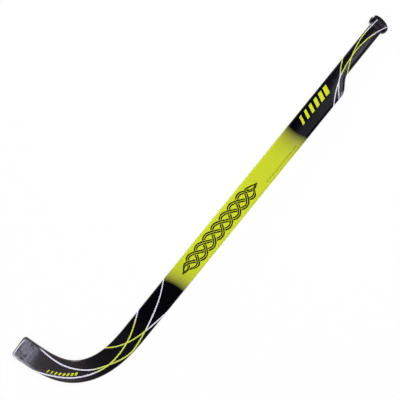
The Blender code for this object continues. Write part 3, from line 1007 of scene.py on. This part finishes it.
def finished_grid(run, section, table, inset=0.0, share=1.0):
    """Run, side and height arrays of the finished surface, or of a wall inside it."""
    side, height = rings(section, table, inset)
    column = np.broadcast_to(run[:, None], side.shape)
    return column, side, height - share * fall_away(column, side, height, section)


def stick_values(run, side, height):
    """The vertex values that the finishes read, in millimetres."""
    values = {"run": 1000 * run, "side": 1000 * side, "height": 1000 * height}
    values.update(stripe_values(1000 * run, 1000 * side))
    return values


# %% [markdown]
# ## A map for the baked picture
#
# When the model leaves Blender its finishes are baked into a square picture. Smart UV Project
# would cut this piece into hundreds of scraps. The film is really one long narrow strip, which
# would waste most of a square, so the strip is cut into three lengths, laid one above the other at
# the same scale, with the inner wall in the narrow column that is left.

# %% Bake map
MAP_ROWS = 3
MAP_SIDE = 0.384
MAP_MARGIN = 0.0015
WALL_COLUMN = 0.016
WIDEST_RUN = 0.5


def outside_map(runs):
    """Corners of the outer grid's faces: run along each of three rows, arc length up the row."""
    side, height = (ring[0] for ring in rings(skin_section(np.array([WIDEST_RUN])), FILM_TABLE))
    side, height = np.append(side, side[0]), np.append(height, height[0])
    arc = np.concatenate([[0.0], np.cumsum(np.hypot(np.diff(side), np.diff(height)))])
    length = (runs[-1] - runs[0]) / MAP_ROWS
    row = np.minimum(((runs[:-1] - runs[0]) / length).astype(int), MAP_ROWS - 1)
    start = MAP_MARGIN - runs[0] - row * length
    base = MAP_MARGIN + row * (arc[-1] + 2 * MAP_MARGIN)
    here, ahead = runs[:-1] + start, runs[1:] + start
    u = np.stack([here, ahead, ahead, here], axis=-1)[:, None, :]
    v = np.stack([arc[:-1], arc[:-1], arc[1:], arc[1:]], axis=-1)[None, :, :] + base[:, None, None]
    return np.stack(np.broadcast_arrays(u, v), axis=-1).reshape(-1, 2) / MAP_SIDE


def wall_map(rows, columns):
    """Corners of the inner wall's faces, pressed into the column at the square's right."""
    across = MAP_SIDE - WALL_COLUMN + (WALL_COLUMN - MAP_MARGIN) * np.arange(columns + 1) / columns
    up = MAP_MARGIN + (MAP_SIDE - 2 * MAP_MARGIN) * np.arange(rows) / (rows - 1)
    u = np.stack([across[1:], across[1:], across[:-1], across[:-1]], axis=-1)[None, :, :]
    v = np.stack([up[:-1], up[1:], up[1:], up[:-1]], axis=-1)[:, None, :]
    return np.stack(np.broadcast_arrays(u, v), axis=-1).reshape(-1, 2) / MAP_SIDE


# %% [markdown]
# ## Closing the film's wall
#
# The two grids become one body with a real wall, as a shrunk sleeve has. Solidify could thicken
# the outer grid, but its wall would cross itself at the knob's tight corners. The inner grid is
# turned to face inwards, and a rim at each end joins two steps of the outer ring to one of the
# inner.

# %% Film piece
FILM_SPANS = [(0.030, 0.0007), (0.128, 0.0025), (0.178, 0.0011), (0.799, 0.0036), (1.040, 0.0016),
              (SKIN_END, 0.0008)]


def rim_faces(first, second, columns, inner_columns, turned):
    """Five-sided faces between a ring of places and one of half as many, at one end."""
    faces = []
    for step in range(inner_columns):
        outer = [first + (2 * step + ahead) % columns for ahead in (0, 1, 2)]
        face = (*outer, second + (step + 1) % inner_columns, second + step)
        faces.append(face[::-1] if turned else face)
    return faces


def film_piece():
    """Outer grid, inner grid with half the places, and a rim at each end."""
    runs = stations(BUTT_CAP_LENGTH, *FILM_SPANS)
    wall_runs = np.append(runs[:-1:2], runs[-1])
    wall_section = skin_section(wall_runs)
    outer = finished_grid(runs, skin_section(runs), FILM_TABLE)
    inner = finished_grid(wall_runs, wall_section, FILM_TABLE[::2], SKIN_WALL, WALL_SHARE)
    rows, columns = outer[0].shape
    inner_rows, inner_columns = inner[0].shape
    offset = rows * columns
    last = (offset - columns, offset + (inner_rows - 1) * inner_columns)
    faces = [tuple(face) for face in wrapped_quads(rows, columns)]
    faces += [tuple(face[::-1]) for face in wrapped_quads(inner_rows, inner_columns, offset)]
    rims = rim_faces(0, offset, columns, inner_columns, False)
    rims += rim_faces(*last, columns, inner_columns, True)
    face_finish = np.arange(len(faces) + len(rims)) >= (rows - 1) * columns
    rim_corner = np.full((5 * len(rims), 2), (MAP_SIDE - MAP_MARGIN) / MAP_SIDE)
    layout = np.vstack([outside_map(runs), wall_map(inner_rows, inner_columns), rim_corner])
    points = np.vstack([place(*grid).reshape(-1, 3) for grid in (outer, inner)])
    values = stick_values(*(np.concatenate([a.ravel(), b.ravel()]) for a, b in zip(outer, inner)))
    finishes = [film_finish(), sleeve_finish()]
    return make_piece("printed_film", points, faces + rims, values, finishes, face_finish, layout)


film = film_piece()
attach(film, "root")
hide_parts("printed_skin")

# %% [markdown]
# ## The two ends
#
# The toe is dipped, so its cap has the film's own finish and goes on from its last ring. Its plan
# corners and its edges are quarter rounds of two sizes, drawn in as the run nears the end. The butt
# cap is the plain end of the knob, satin black, set a hair lower than the print beside it. Both are
# domes: rings that close to a pole on the outer end and to a flat face where they meet the film.

# %% Domed ends
TOE_RINGS = 26
TOE_FACE_RINGS = 8
LEAST_EDGE = 0.3


def quarter_round(run, radius):
    """How far a rounded edge has drawn in near the toe: radius - sqrt(radius^2 - along^2)."""
    along = np.clip(run - (STICK_LENGTH - radius), 0.0, radius)
    return radius - np.sqrt(radius * radius - along * along)


def toe_section(run):
    """The blade's section, drawn in along the toe's rounded corners and edges."""
    inner, outer, low, high, radius = skin_section(run)
    corner_in = quarter_round(run, TOE_CORNER_RADIUS)
    edge_in = quarter_round(run, TOE_EDGE_RADIUS)
    radius = np.maximum(radius - edge_in, LEAST_EDGE * radius)
    return inner - corner_in, outer + corner_in, low + edge_in, high - edge_in, radius


def domed_piece(name, grid, pole, finish):
    """A body from rings of places: a flat face on the first ring and a pole past the last."""
    rows, columns = grid[0].shape
    run, side, height = (np.append(part.ravel(), end) for part, end in zip(grid, pole))
    top = (rows - 1) * columns
    faces = [tuple(face) for face in wrapped_quads(rows, columns)]
    faces += [(top + (step + 1) % columns, top + step, rows * columns) for step in range(columns)]
    faces.append(tuple(range(columns)))
    points = place(run, side, height)
    return make_piece(name, points, faces, stick_values(run, side, height), [finish])


def toe_cap_piece():
    """Quarter rounds in even steps of their angle, then the end face in rings to its middle."""
    angles = 0.5 * math.pi * np.linspace(0.0, 1.0, TOE_RINGS)
    runs = SKIN_END + (STICK_LENGTH - SKIN_END) * np.sin(angles)
    grid = finished_grid(runs, toe_section(runs), FILM_TABLE)
    middle = [0.5 * (part[-1].max() + part[-1].min()) for part in grid[1:]]
    shrink = np.linspace(1.0, 0.0, TOE_FACE_RINGS)[1:-1, None]
    face = [mid + (part[-1][None, :] - mid) * shrink for part, mid in zip(grid[1:], middle)]
    flat = np.full(face[0].shape, STICK_LENGTH)
    grid = [np.vstack([part, more]) for part, more in zip(grid, (flat, *face))]
    return domed_piece("dipped_toe_cap", grid, (STICK_LENGTH, *middle), film_finish())


# %% [markdown]
# The butt's end is sealed with a dipped and air-dried coat. It scatters light more than the film
# does, so it looks greyer than its own black, and its low index keeps that sheen faint.

# %% Butt cap
BUTT_RINGS = 30
BUTT_INSET = 0.00015
SEAL_DARK, SEAL_PALE = rgb(0.0045, 0.0042, 0.0055), rgb(0.0105, 0.0098, 0.0112)


def butt_finish():
    """Sealed end: satin black with a fine texture, and a painted highlight on the knob's corner."""
    sealed = Finish("sealed_satin", IOR=1.16)
    point = sealed.place()
    fine = sealed.noise(point, 900.0, 3.0)
    broad = sealed.noise(point, 90.0, 3.0)
    # The first painted highlight, where it crosses from the film onto the knob's end.
    glint = glint_share(sealed, sealed.value("run"), sealed.value("side"), point, GLINT_SPOTS[:1])
    tone = sealed.blend(broad, SEAL_DARK, SEAL_PALE)
    tone = sealed.blend(glint, tone, glint_tone(sealed, point))
    rough = broad * 0.12 + fine * 0.10 + 0.46
    return sealed.feed(Base_Color=tone, Roughness=rough, Normal=sealed.bump(fine, 0.00005))


def butt_cap_piece():
    """Superellipse dome: rings at even steps of the angle whose sine is the crest's share."""
    first = math.asin(1 - BUTT_CAP_LENGTH / KNOB_CREST)
    angles = np.linspace(first, 0.5 * math.pi, BUTT_RINGS)[:-1]
    runs = KNOB_CREST * (1 - np.sin(angles))
    section = skin_section(runs)
    inset = np.minimum(BUTT_INSET, 0.5 * section[4][:, None])
    grid = finished_grid(runs, section, FILM_TABLE, inset)
    pole = (0.0, INNER_EDGE - KNOB_APEX, (SHAFT_THICKNESS + KNOB_FRONT_RISE) / 2)
    return domed_piece("sealed_butt_cap", grid, pole, butt_finish())


for piece, node, slot in ((toe_cap_piece(), "toe_cap", "printed_film_toe"),
                          (butt_cap_piece(), "butt_cap", "sealed_end")):
    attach(piece, "root")
    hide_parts(node)

# %% [markdown]
# ## Wood and carbon
#
# The plies are ash in the handle's core and lighter poplar in the paddle. Wood grain is long in one
# direction, so the noise that draws it is stretched along the run: one unit of noise is some 20 mm
# long and under 1 mm wide. Growth rings show as broad bands, which are a sine bent by a slow drift.

# %% Wood finish
DRIFT_ALONG, DRIFT_ACROSS, DRIFT_TURNS = 0.006, 0.05, 5
PORES_ALONG, PORES_ACROSS = 0.045, 1.5
CARBON_TOW, CARBON_BUMP = 2.0, 0.00015
CARBON_DARK, CARBON_PALE = rgb(0.008, 0.008, 0.009), rgb(0.042, 0.042, 0.046)


def wood_finish(name, pale, dark, ring_width, pore_depth):
    """Bare wood: bands of growth rings and fine pores, both drawn out along the run."""
    wood = Finish(name, IOR=1.46)
    run, side, height = (wood.value(key) for key in ("run", "side", "height"))
    slow = wood.point(run * DRIFT_ALONG, side * DRIFT_ACROSS, height * DRIFT_ACROSS)
    fine = wood.point(run * PORES_ALONG, side * PORES_ACROSS, height * PORES_ACROSS)
    growth = (side * 0.9 + height * 0.35) / ring_width + wood.noise(slow, 1.0, 2.0) * DRIFT_TURNS
    band = wood.math("SINE", growth * (2 * math.pi)) * 0.5 + 0.5
    pores = wood.noise(fine, 1.0, 4.0, 0.65)
    tone = wood.blend(band * 0.45 + wood.step(pores, 0.3, 0.7) * 0.55, pale, dark)
    rough = pores * 0.25 + 0.45
    return wood.feed(Base_Color=tone, Roughness=rough, Normal=wood.bump(pores, pore_depth))


def carbon_finish():
    """Carbon cloth in clear resin: each set of tows shines differently, so the twill shows."""
    carbon = Finish("carbon_twill", IOR=1.52)
    tows = crossed_tows(carbon, CARBON_TOW)
    bulge = tow_height(carbon, *tows)
    tone = carbon.blend(tows[2] * 0.5 + bulge * 0.5, CARBON_DARK, CARBON_PALE)
    rough = (1 - tows[2]) * 0.16 + 0.22
    return carbon.feed(Base_Color=tone, Roughness=rough, Normal=carbon.bump(bulge, CARBON_BUMP))


ASH = wood_finish("ash_grain", rgb(0.66, 0.47, 0.28), rgb(0.40, 0.25, 0.13), 2.4, 0.00012)
POPLAR = wood_finish("poplar_grain", rgb(0.72, 0.58, 0.39), rgb(0.55, 0.41, 0.24), 4.5, 0.00006)
CARBON = carbon_finish()

# %% [markdown]
# ## The plies
#
# A ply is told by two depths from the core's inner side. It is swept along the same spine, rounded
# where it lies in a corner of the skin, and cut off where the shoulder leaves it no width. The CAD
# gives the run at which each ply starts, so a finer ply lies just where the plain one did.

# %% Sweeping inner pieces
PLY_STEP = 0.005
SHOULDER_STEP = 0.0015
SHOULDER_END = HANDLE_LENGTH + SHOULDER_LENGTH + 0.003


def loop(out, back):
    """Rings from places that go out along one face and come back along the other."""
    return np.hstack([out, back[:, ::-1]])


def swept_piece(name, node, slot, runs, side, height, finish):
    """A body from one ring of (side, height) places at each run, with flat ends."""
    rows, columns = side.shape
    run = np.broadcast_to(runs[:, None], side.shape)
    faces = [tuple(face) for face in wrapped_quads(rows, columns)]
    faces += [tuple(range(columns)), tuple(range((rows - 1) * columns, rows * columns))[::-1]]
    points = place(run, side, height).reshape(-1, 3)
    piece = make_piece(name, points, faces, stick_values(run, side, height), [finish])
    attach(piece, "root")
    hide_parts(node)


def node_runs(node):
    """Runs of a CAD node: its start read off the straight shaft, and finer on the shoulder."""
    start = BUTT_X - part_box(node)[1].x
    return stations(start, (HANDLE_LENGTH, PLY_STEP), (SHOULDER_END, SHOULDER_STEP),
                    (SKIN_END, PLY_STEP))


def height_limits(run, side):
    """Lowest and highest wood at a side: under the sheets, and under the skin's corners."""
    inner, outer, thickness, radius = body_section(run)
    radius = radius - UNDER_SKIN
    from_edge = np.minimum(inner - UNDER_SKIN - side, side - outer - UNDER_SKIN)
    into_corner = np.clip(radius - from_edge, 0.0, radius)
    corner = UNDER_SKIN + radius - np.sqrt(radius * radius - into_corner * into_corner)
    low = np.maximum(UNDER_SHEET, corner)
    return low, thickness - low


def ply_rings(runs, near, far, shares):
    """Side and height of a ply between two depths, which shrink or grow with the width."""
    inner, outer = body_section(runs)[:2]
    core_inner = inner - UNDER_SKIN
    spread = core_inner / (INNER_EDGE - UNDER_SKIN)
    top = core_inner - near * spread
    bottom = np.maximum(core_inner - far * spread, outer + UNDER_SKIN)
    side = top[:, None] + (bottom - top)[:, None] * shares
    low, high = height_limits(runs[:, None], side)
    return loop(side, side), loop(low, high)


# %% [markdown]
# ## The stack, from the inner side
#
# The handle is four ash plies with a carbon strip at their middle. A second strip and three poplar
# plies widen the paddle. Each could be typed in by its place, but a glued stack is a running sum:
# every layer starts a glue gap past the last, so a change of one ply moves all that follow. The
# first and last plies have more places where they fill the skin's rounded corners.

# %% Plies and strips
EVEN = np.linspace(0.0, 1.0, 5)
ROUND_FIRST = 1 - np.cos(np.linspace(0, 0.5 * math.pi, 10))
ROUND_LAST = (1 - ROUND_FIRST)[::-1]


def laminate():
    """Name, node, slot, depths, shares and finish of every ply and strip, from the inner side."""
    rows = []
    depth = 0.0

    def layer(name, node, slot, width, shares, finish):
        """One more layer on the stack, which then has grown by its width and a glue gap."""
        nonlocal depth
        rows.append((name, node, slot, depth, depth + width, shares, finish))
        depth += width + CLEARANCE

    core = HANDLE_WIDTH - 2 * UNDER_SKIN - CARBON_STRIP_WALL - CORE_PLIES * CLEARANCE
    width = core / CORE_PLIES
    for count in range(1, CORE_PLIES + 1):
        shares = {1: ROUND_FIRST, CORE_PLIES: ROUND_LAST}.get(count, EVEN)
        layer(f"ash_ply_{count}", f"core_ply_{count}", "ash_wood", width, shares, ASH)
        strip = {CORE_PLIES // 2: "core", CORE_PLIES: "paddle"}.get(count)
        if strip:
            layer(f"{strip}_carbon_strip", f"carbon_strip_{strip}", "carbon_weave",
                  CARBON_STRIP_WALL, EVEN, CARBON)
    width = PADDLE_WIDTH - 2 * UNDER_SKIN - depth - (PADDLE_PLIES - 1) * CLEARANCE
    width /= PADDLE_PLIES
    for count in range(1, PADDLE_PLIES + 1):
        shares = ROUND_LAST if count == PADDLE_PLIES else EVEN
        layer(f"poplar_ply_{count}", f"paddle_ply_{count}", "poplar_wood", width, shares, POPLAR)
    return rows


for name, node, slot, near, far, shares, finish in laminate():
    runs = node_runs(node)
    swept_piece(name, node, slot, runs, *ply_rings(runs, near, far, shares), finish)

# %% [markdown]
# ## Carbon sheets
#
# Carbon cloth lies on the flat of both faces, between the plies and the skin. It could be bent from
# a flat plane with a curve modifier. Sweeping a thin rectangle along the spine is exact, and it
# uses the function that made the plies.

# %% Sheets
def sheet_rings(runs, front):
    """A thin rectangle on the flat of one face, with places across it for the bend."""
    inner, outer, thickness, radius = body_section(runs)
    across = np.linspace(0.0, 1.0, 9)
    side = (inner - radius)[:, None] + (outer + radius - inner + radius)[:, None] * across
    low = np.full(side.shape, UNDER_SKIN)
    height = np.hstack([low, low + FACE_SHEET_WALL])
    return loop(side, side), thickness[:, None] - height if front else height


for face, front in (("front", True), ("back", False)):
    node = f"carbon_sheet_{face}"
    runs = node_runs(node)
    side, height = sheet_rings(runs, front)
    swept_piece(f"{face}_carbon_sheet", node, "carbon_weave", runs, side, height, CARBON)

# %% [markdown]
# ## The knob's blocks and wedge
#
# The knob's two lobes are blocks of wood glued to the handle's edges, and a thin wedge lifts its
# front. Cutting them from a solid knob with Boolean would leave slivers at the tangent edges. So
# the skin's own ring, less its wall, is cut off at the seat by working out where its corner arc
# meets the handle's edge.

# %% Knob blocks and wedge
BLOCK_STATIONS, WEDGE_STATIONS = 24, 20


def block_rings(runs, sign):
    """The skin's ring less its wall, cut off at the handle's edge: two corner arcs and a seat."""
    inner, outer, low, high, radius = skin_section(runs)
    body_inner, body_outer = body_section(runs)[:2]
    radius = radius - UNDER_SKIN
    reach = (inner if sign > 0 else -outer) - UNDER_SKIN
    seat = (body_inner if sign > 0 else -body_outer) - SKIN_WALL
    centre = reach - radius
    start = np.arccos(np.clip((seat - centre) / radius, 0.0, 1.0))
    turn = start[:, None] * np.linspace(1.0, 0.0, 13)[1:]
    arc_side = centre[:, None] + radius[:, None] * np.cos(turn)
    arc_drop = radius[:, None] * (1 - np.sin(turn))
    side = sign * np.hstack([seat[:, None], arc_side])
    drop = np.hstack([(radius * (1 - np.sin(start)))[:, None], arc_drop])
    lower = low[:, None] + UNDER_SKIN + drop
    upper = high[:, None] - UNDER_SKIN - drop
    return loop(side, side), loop(lower, upper)


def wedge_rings(runs):
    """Crown strip on the handle's curve: two arcs over a flat seat on the front sheet."""
    inner, outer, thickness, radius = body_section(runs)
    radius = radius - UNDER_SKIN
    top = thickness + front_rise(runs) - UNDER_SKIN
    centre = top - radius
    start = np.arcsin(np.clip((thickness - SKIN_WALL - centre) / radius, -1.0, 1.0))
    turn = start[:, None] + (0.5 * math.pi - start)[:, None] * np.linspace(0.0, 1.0, 10)
    near = (inner - UNDER_SKIN - radius)[:, None] + radius[:, None] * np.cos(turn)
    far = (outer + UNDER_SKIN + radius)[:, None] - radius[:, None] * np.cos(turn)
    height = centre[:, None] + radius[:, None] * np.sin(turn)
    return loop(near, far), loop(height, height)


for name, node, count, shape, choice in (
        ("lobe_block_inner", "knob_block_inner", BLOCK_STATIONS, block_rings, (1,)),
        ("lobe_block_outer", "knob_block_outer", BLOCK_STATIONS, block_rings, (-1,)),
        ("front_wedge", "knob_pad_front", WEDGE_STATIONS, wedge_rings, ())):
    low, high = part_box(node)
    runs = np.linspace(BUTT_X - high.x, BUTT_X - low.x, count)
    swept_piece(name, node, "knob_wood", runs, *shape(runs, *choice), POPLAR)

# %% [markdown]
# ## Camera
#
# The photograph is taken straight down on the stick with a long lens, its shaft at 51 degrees. Two
# directions, across and up the picture, place the camera and later the lamps. The stick's middle
# lies a few pixels off the picture's.

# %% Camera
VIEW_TILT = math.radians(50.967)
PIXEL = 0.0020348
PHOTO_SIZE = 400
PHOTO_ORIGIN = (202.836, 192.052)
CAMERA_DISTANCE = 5.0
FACE_HEIGHT = 0.016
SENSOR = 36.0

ACROSS = np.array([math.cos(VIEW_TILT), -math.sin(VIEW_TILT), 0.0])
UPWARD = np.array([math.sin(VIEW_TILT), math.cos(VIEW_TILT), 0.0])


def studio(across, up, height):
    """World place of a point told by the picture's directions, from the picture's middle."""
    across = across + (PHOTO_SIZE / 2 - PHOTO_ORIGIN[0]) * PIXEL
    up = up - (PHOTO_SIZE / 2 - PHOTO_ORIGIN[1]) * PIXEL
    return across * ACROSS + up * UPWARD + np.array([0.0, 0.0, height])


def turned_to(x_axis, y_axis, spot):
    """Matrix of an object whose X and Y point along two square directions, put at a spot."""
    matrix = np.eye(4)
    matrix[:3] = np.column_stack([x_axis, y_axis, np.cross(x_axis, y_axis), spot])
    return Matrix(matrix.tolist())


camera_data = bpy.data.cameras.new("camera")
camera_data.sensor_width = SENSOR
camera_data.lens = SENSOR * CAMERA_DISTANCE / (PHOTO_SIZE * PIXEL)
camera = bpy.data.objects.new("camera", camera_data)
bpy.context.scene.collection.objects.link(camera)
camera.matrix_world = turned_to(ACROSS, UPWARD, studio(0, 0, FACE_HEIGHT + CAMERA_DISTANCE))
bpy.context.scene.camera = camera
bpy.context.scene.view_settings.view_transform = "Standard"
print("lens, mm:", round(camera_data.lens, 1))

# %% [markdown]
# ## Floor and surroundings
#
# The background is white paper. It could be lit until it clips, but then the stick would be too.
# So to camera, glossy and transmission rays the floor is mostly its own even white, and the rest of
# it is lit paint, which keeps the shadow. The world is dim overhead, because black gloss shows
# whatever is above it, and paler at the horizon. It is white to the camera alone, for low views.

# %% Floor and world
FLOOR_REACH = 20.0
FLOOR_DROP = 0.0002
PAPER_SHARE = 0.92
FLOOR_WHITE = rgb(0.93, 0.93, 0.93)
PURE_WHITE = rgb(1, 1, 1)
OVERHEAD = rgb(0.02, 0.02, 0.022)
HORIZON = rgb(0.30, 0.30, 0.33)
SKY_EDGE = (0.75, 0.0)


def seen_by(tree, *kinds):
    """1 for rays of these kinds, 0 for all others."""
    return tree.most(*(tree.node("ShaderNodeLightPath", {}, {}, f"Is {kind} Ray")
                       for kind in kinds))


corners = np.array([(-1, -1, 0), (1, -1, 0), (1, 1, 0), (-1, 1, 0)]) * FLOOR_REACH
floor_mesh = bpy.data.meshes.new("floor")
floor_mesh.from_pydata(corners, [], [(0, 1, 2, 3)])
floor = bpy.data.objects.new("floor", floor_mesh)
bpy.context.scene.collection.objects.link(floor)
floor.location.z = -FLOOR_DROP

paint = Finish("floor_paper", Base_Color=FLOOR_WHITE, Roughness=0.9, Specular_IOR_Level=0.2)
glow = paint.node("ShaderNodeEmission", {}, {"Color": PURE_WHITE, "Strength": 1.0})
seen = seen_by(paint, "Camera", "Glossy", "Transmission")
sockets = {0: seen * PAPER_SHARE, 1: Signal(paint, paint.shader.outputs[0]), 2: glow}
mixed = paint.node("ShaderNodeMixShader", {}, sockets)
paint.tree.links.new(mixed.socket, paint.tree.nodes["Material Output"].inputs[0])
floor_mesh.materials.append(paint.material)

world = bpy.data.worlds.new("studio")
bpy.context.scene.world = world
world.use_nodes = True
sky = Workshop(world.node_tree)
direction = sky.node("ShaderNodeTexCoord", {}, {}, "Generated")
rise = sky.node("ShaderNodeSeparateXYZ", {}, {"Vector": direction}, "Z")
shade = sky.blend(sky.step(rise, *SKY_EDGE), OVERHEAD, HORIZON)
shade = sky.blend(seen_by(sky, "Camera"), shade, PURE_WHITE)
sky.tree.links.new(shade.socket, sky.tree.nodes["Background"].inputs["Color"])

# %% [markdown]
# ## Lamps
#
# A long glossy black thing shows every lamp beside it as a bright line down its whole edge, and the
# real one shows none. So the large lamps stand beyond its two ends, where no straight edge mirrors
# them: the key and the low lamp past the toe, the fill past the knob. Two smaller ones to the sides
# brighten the knob's lobes and the shoulder's corner. Small cards overhead give the dim sheen on
# the handle and the shaft, and one past the blade brightens the hollow under the knob. A lamp's
# strength is its share of the light on a level white card, so the shares say at once how bright a
# colour will come out.

# %% Lamps
MIDDLE = (0.0, 0.0, 0.016)
TOE = (-0.34, -0.30, 0.014)
KNOB = (0.37, 0.35, 0.016)
SHOULDER = (0.29, 0.21, 0.016)
HANDLE = (0.502, 0.295, 0.016)
SHAFT = (0.379, 0.143, 0.016)
STRAIGHT_DOWN = 0.99


def soft_box(name, spot, aim, width, height, share):
    """A flat lamp turned to its aim. Its power is share (pi distance)^2 / cos(tilt from above)."""
    start = studio(*spot)
    away = start - studio(*aim)
    distance = float(np.linalg.norm(away))
    away = away / distance
    lamp = bpy.data.lights.new(name, "AREA")
    lamp.shape = "RECTANGLE"
    lamp.size = width
    lamp.size_y = height
    lamp.energy = share * (math.pi * distance) ** 2 / away[2]
    box = bpy.data.objects.new(name, lamp)
    bpy.context.scene.collection.objects.link(box)
    level = np.cross([0.0, 1.0, 0.0] if abs(away[2]) > STRAIGHT_DOWN else [0.0, 0.0, 1.0], away)
    level = level / np.linalg.norm(level)
    box.matrix_world = turned_to(level, np.cross(away, level), start)
    box.visible_camera = False
    print(f"{name}: {distance:.2f} m away, {lamp.energy:.1f} W")


soft_box("key_lamp", (-1.45, -0.85, 2.7), MIDDLE, 0.9, 0.9, 0.34)
soft_box("low_lamp", (-1.50, -1.95, 1.5), TOE, 0.8, 0.8, 0.15)
soft_box("fill_lamp", (1.45, 0.95, 2.3), MIDDLE, 0.9, 0.9, 0.43)
soft_box("knob_lamp", (-0.48, 1.56, 0.34), KNOB, 0.5, 0.5, 0.10)
soft_box("shoulder_lamp", (1.73, -0.20, 1.15), SHOULDER, 0.28, 2.0, 0.055)
soft_box("fillet_card", (-0.52, -0.743, 2.07), KNOB, 0.25, 0.25, 0.0055)
soft_box("handle_card", (*HANDLE[:2], 1.5), HANDLE, 0.17, 0.24, 0.0142)
soft_box("shaft_card", (*SHAFT[:2], 1.5), SHAFT, 0.22, 0.24, 0.0040)
